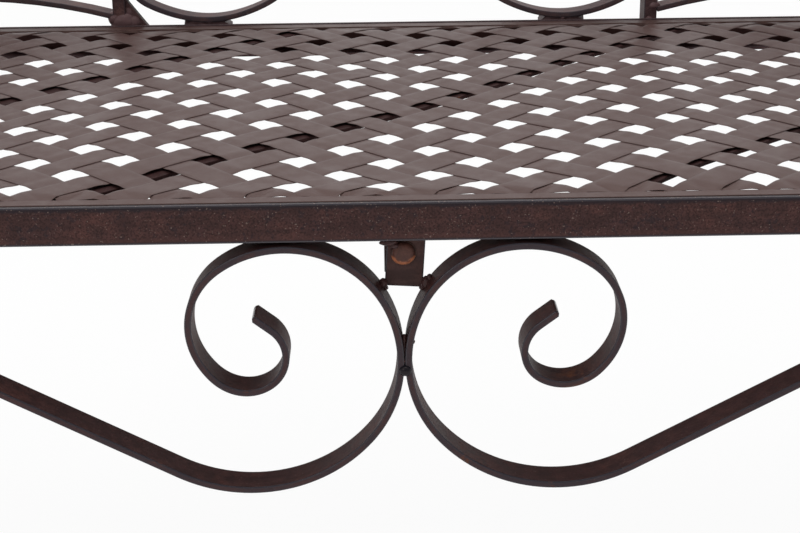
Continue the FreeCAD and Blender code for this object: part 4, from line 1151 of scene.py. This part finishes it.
# Apron: the plate's lower corners and top, and the middle where the two scrolls meet
for label, spot, radii in (
        ("plate_weld_left", (-13.0, 16.6, 380.9), (2.9, 3.0, 3.4)),
        ("plate_weld_left_low", (-11.6, 17.6, 377.6), (1.9, 2.4, 1.9)),
        ("plate_weld_right", (14.2, 16.4, 381.0), (3.4, 3.2, 4.4)),
        ("plate_weld_right_low", (11.8, 17.2, 377.6), (2.2, 2.6, 2.2)),
        ("plate_weld_right_high", (16.4, 16.6, 384.4), (2.0, 2.4, 2.4)),
        ("plate_weld_top", (-9.4, 15.6, 408.6), (5.6, 2.2, 2.4)),
        ("plate_weld_top_low", (-5.4, 15.2, 406.4), (2.6, 1.8, 2.0)),
        ("middle_weld_knob", (-0.7, 2.4, 333.8), (1.9, 2.2, 1.8)),
        ("middle_spatter", (5.5, 1.6, 346.8), (1.1, 1.1, 1.4))):
    lump(label, (spot[0], FRONT + spot[1], spot[2]), radii, seed=0.11 * spot[2])
lump("middle_weld_ball", (0.3, FRONT + 0.8, 327.4), (4.1, 3.8, 3.8), seed=36, material=bead_paint,
     knobbly=0.05)
weld("middle_weld_front", [(-0.2, FRONT + 4.2, 334.5), (-0.3, FRONT + 4.4, 351.0)], 1.5, seed=3)
weld("middle_weld_back", [(0, FRONT + 20.4, 344.0), (0, FRONT + 20.4, 318.0)], 1.9, seed=4)
# Back: the stems' feet and the scrolls' pads, as (across, up the rake, towards the front)
for label, spot, radii in (
        ("stem_weld_left", (251.6, 17.5, 7.0), (12.5, 10.5, 9.0)),
        ("stem_weld_left_arch", (260.0, 21.6, 6.0), (7.0, 7.0, 8.0)),
        ("stem_weld_left_stay", (242.6, 17.6, 8.0), (7.0, 7.0, 6.0)),
        ("stem_weld_left_gap", (246.6, 27.0, 7.6), (4.2, 6.5, 3.6)),
        ("pad_weld_left", (170.9, 18.6, 9.6), (4.6, 2.6, 2.8))):
    lump(label, spot, radii, seed=0.13 * spot[0], place=back_place(-1), material=back_weld, knobbly=0.08)
for label, spot, radii in (
        ("stem_weld_right", (242.7, 14.5, 11.5), (3.6, 3.2, 3.0)),
        ("stem_weld_right_arch", (246.5, 27.0, 6.0), (7.6, 6.0, 8.0)),
        ("pad_weld_right", (161.7, 17.0, 10.0), (2.6, 2.3, 2.4)),
        ("pad_spatter_right", (165.6, 13.6, 9.8), (2.0, 1.7, 1.6)),
        ("pad_spatter_left", (156.6, 14.2, 9.8), (1.7, 1.5, 1.5))):
    lump(label, spot, radii, seed=0.17 * spot[0], place=back_place(1), material=back_weld)
# Side frames and crest: short beads on both faces of each joint
for side, sign in SIDES.items():
    for face, out in (("outer", 1), ("inner", -1)):
        bar_face = out * (BAR_DEPTH / 2 - 0.4)
        for label, first, last, level, deep in (
                ("scroll_weld_low", arm_middle - 64, arm_middle - 30, SEAT_TOP + 0.8, bar_face),
                ("scroll_weld_high", arm_middle - 12, arm_middle + 12, ARM_UNDER - 0.8, bar_face),
                ("leg_weld", 3, TUBE - 3, ARM_UNDER - 0.8, out * TUBE / 2)):
            ends = [(first, level, deep), (last, level, deep)]
            weld(f"{label}_{side}_{face}", ends, 1.5, 0.02 * level + out, side_place(sign))
        shift = sign * BACK_SHIFT
        for label, across, half in (
                ("stem_crest_weld", STEM + shift, STEM_WIDTH / 2 - 1),
                ("scroll_crest_weld", INNER_TOP_PLACE + shift, 9)):
            ends = [(spot, crest_under(spot, 0) + 0.2, out * (BACK_TUBE / 2 + 0.3))
                    for spot in (across - half, across + half)]
            weld(f"{label}_{side}_{face}", ends, 1.6, 0.01 * across + out, back_place(sign))


# Studio

WHITE = (1.0, 1.0, 1.0, 1.0)
FLOOR_GREY = (0.86, 0.86, 0.86, 1.0)
FLOOR_GLOW = 0.93
FLOOR_REACH = 15000


def floor_finish():
    """A white floor that looks almost evenly lit to the camera, and still shows a faint shadow."""
    graph = Graph(bpy.data.materials.new("floor"))
    path = graph.add("ShaderNodeLightPath").outputs
    seen = graph.plus(graph.plus(path["Is Camera Ray"], path["Is Glossy Ray"]), path["Is Transmission Ray"])
    plain = graph.add("ShaderNodeBsdfDiffuse", {"Color": FLOOR_GREY})
    bright = graph.add("ShaderNodeEmission", {"Color": WHITE, "Strength": 1.0})
    mixed = graph.add("ShaderNodeMixShader", {
        0: graph.times(seen, FLOOR_GLOW), 1: plain.outputs[0], 2: bright.outputs[0]})
    graph.add("ShaderNodeOutputMaterial", {0: mixed.outputs[0]})
    return graph.owner


floor_corners = [Vector((x, y, 0)) * FLOOR_REACH for x, y in ((-1, -1), (1, -1), (1, 1), (-1, 1))]
floor_mesh = mesh_of("floor", floor_corners, [(0, 1, 2, 3)])
floor_mesh.materials.append(floor_finish())
floor = placed("floor", floor_mesh)

sky = Graph(bpy.data.worlds.new("studio"))
scene.world = sky.owner
generated = sky.add("ShaderNodeTexCoord").outputs["Generated"]
toward = sky.add("ShaderNodeSeparateXYZ", {0: generated}).outputs[1]
back_light = sky.ramp(toward, -0.75, 0.25, 0.32, 1.0)
path = sky.add("ShaderNodeLightPath").outputs
direct = sky.plus(path["Is Camera Ray"], path["Is Transmission Ray"])
level = sky.add("ShaderNodeMix", {0: direct, 2: back_light, 3: 1.0}, data_type="FLOAT").outputs[0]
background = sky.add("ShaderNodeBackground", {"Color": WHITE, "Strength": level})
sky.add("ShaderNodeOutputWorld", {0: background.outputs[0]})


def lamp(name, place, aim, width, depth, watts):
    """A soft rectangular lamp, in metres."""
    light = bpy.data.lights.new(name, "AREA")
    light.shape = "RECTANGLE"
    light.size = width
    light.size_y = depth
    light.energy = watts
    holder = placed(name, light)
    holder.location = place
    holder.rotation_euler = (Vector(aim) - Vector(place)).to_track_quat("-Z", "Y").to_euler()


lamp("overhead", (0.0, 0.3, 2.7), (0.0, 0.0, 0.4), width=2.4, depth=1.8, watts=26)
lamp("front_left", (-1.9, -2.2, 1.9), (0.0, -0.2, 0.4), width=1.2, depth=1.2, watts=14)

camera = bpy.data.cameras.new("camera")
camera.sensor_width = 36.0
camera.lens = 66.465
camera.clip_end = 60.0
holder = placed("camera", camera)
holder.location = (-0.01494, FRONT * MM - 0.84921, 0.72629)
holder.rotation_euler = Euler([math.radians(angle) for angle in (68.8888, 0.5791, -1.0673)], "XYZ")
scene.camera = holder
scene.view_settings.view_transform = "Standard"

# CAD pieces that stay get their finish
CARRIED = {
    "seat_nuts": bare_steel, "apron_nut": bare_steel,
    "apron_end_nuts": bare_steel, "back_rail_plugs": bare_steel, "back_stay_left": back_paint}
for label, node in nodes.items():
    for start, material in CARRIED.items():
        if label.startswith(start):
            node.data.materials.clear()
            node.data.materials.append(material)
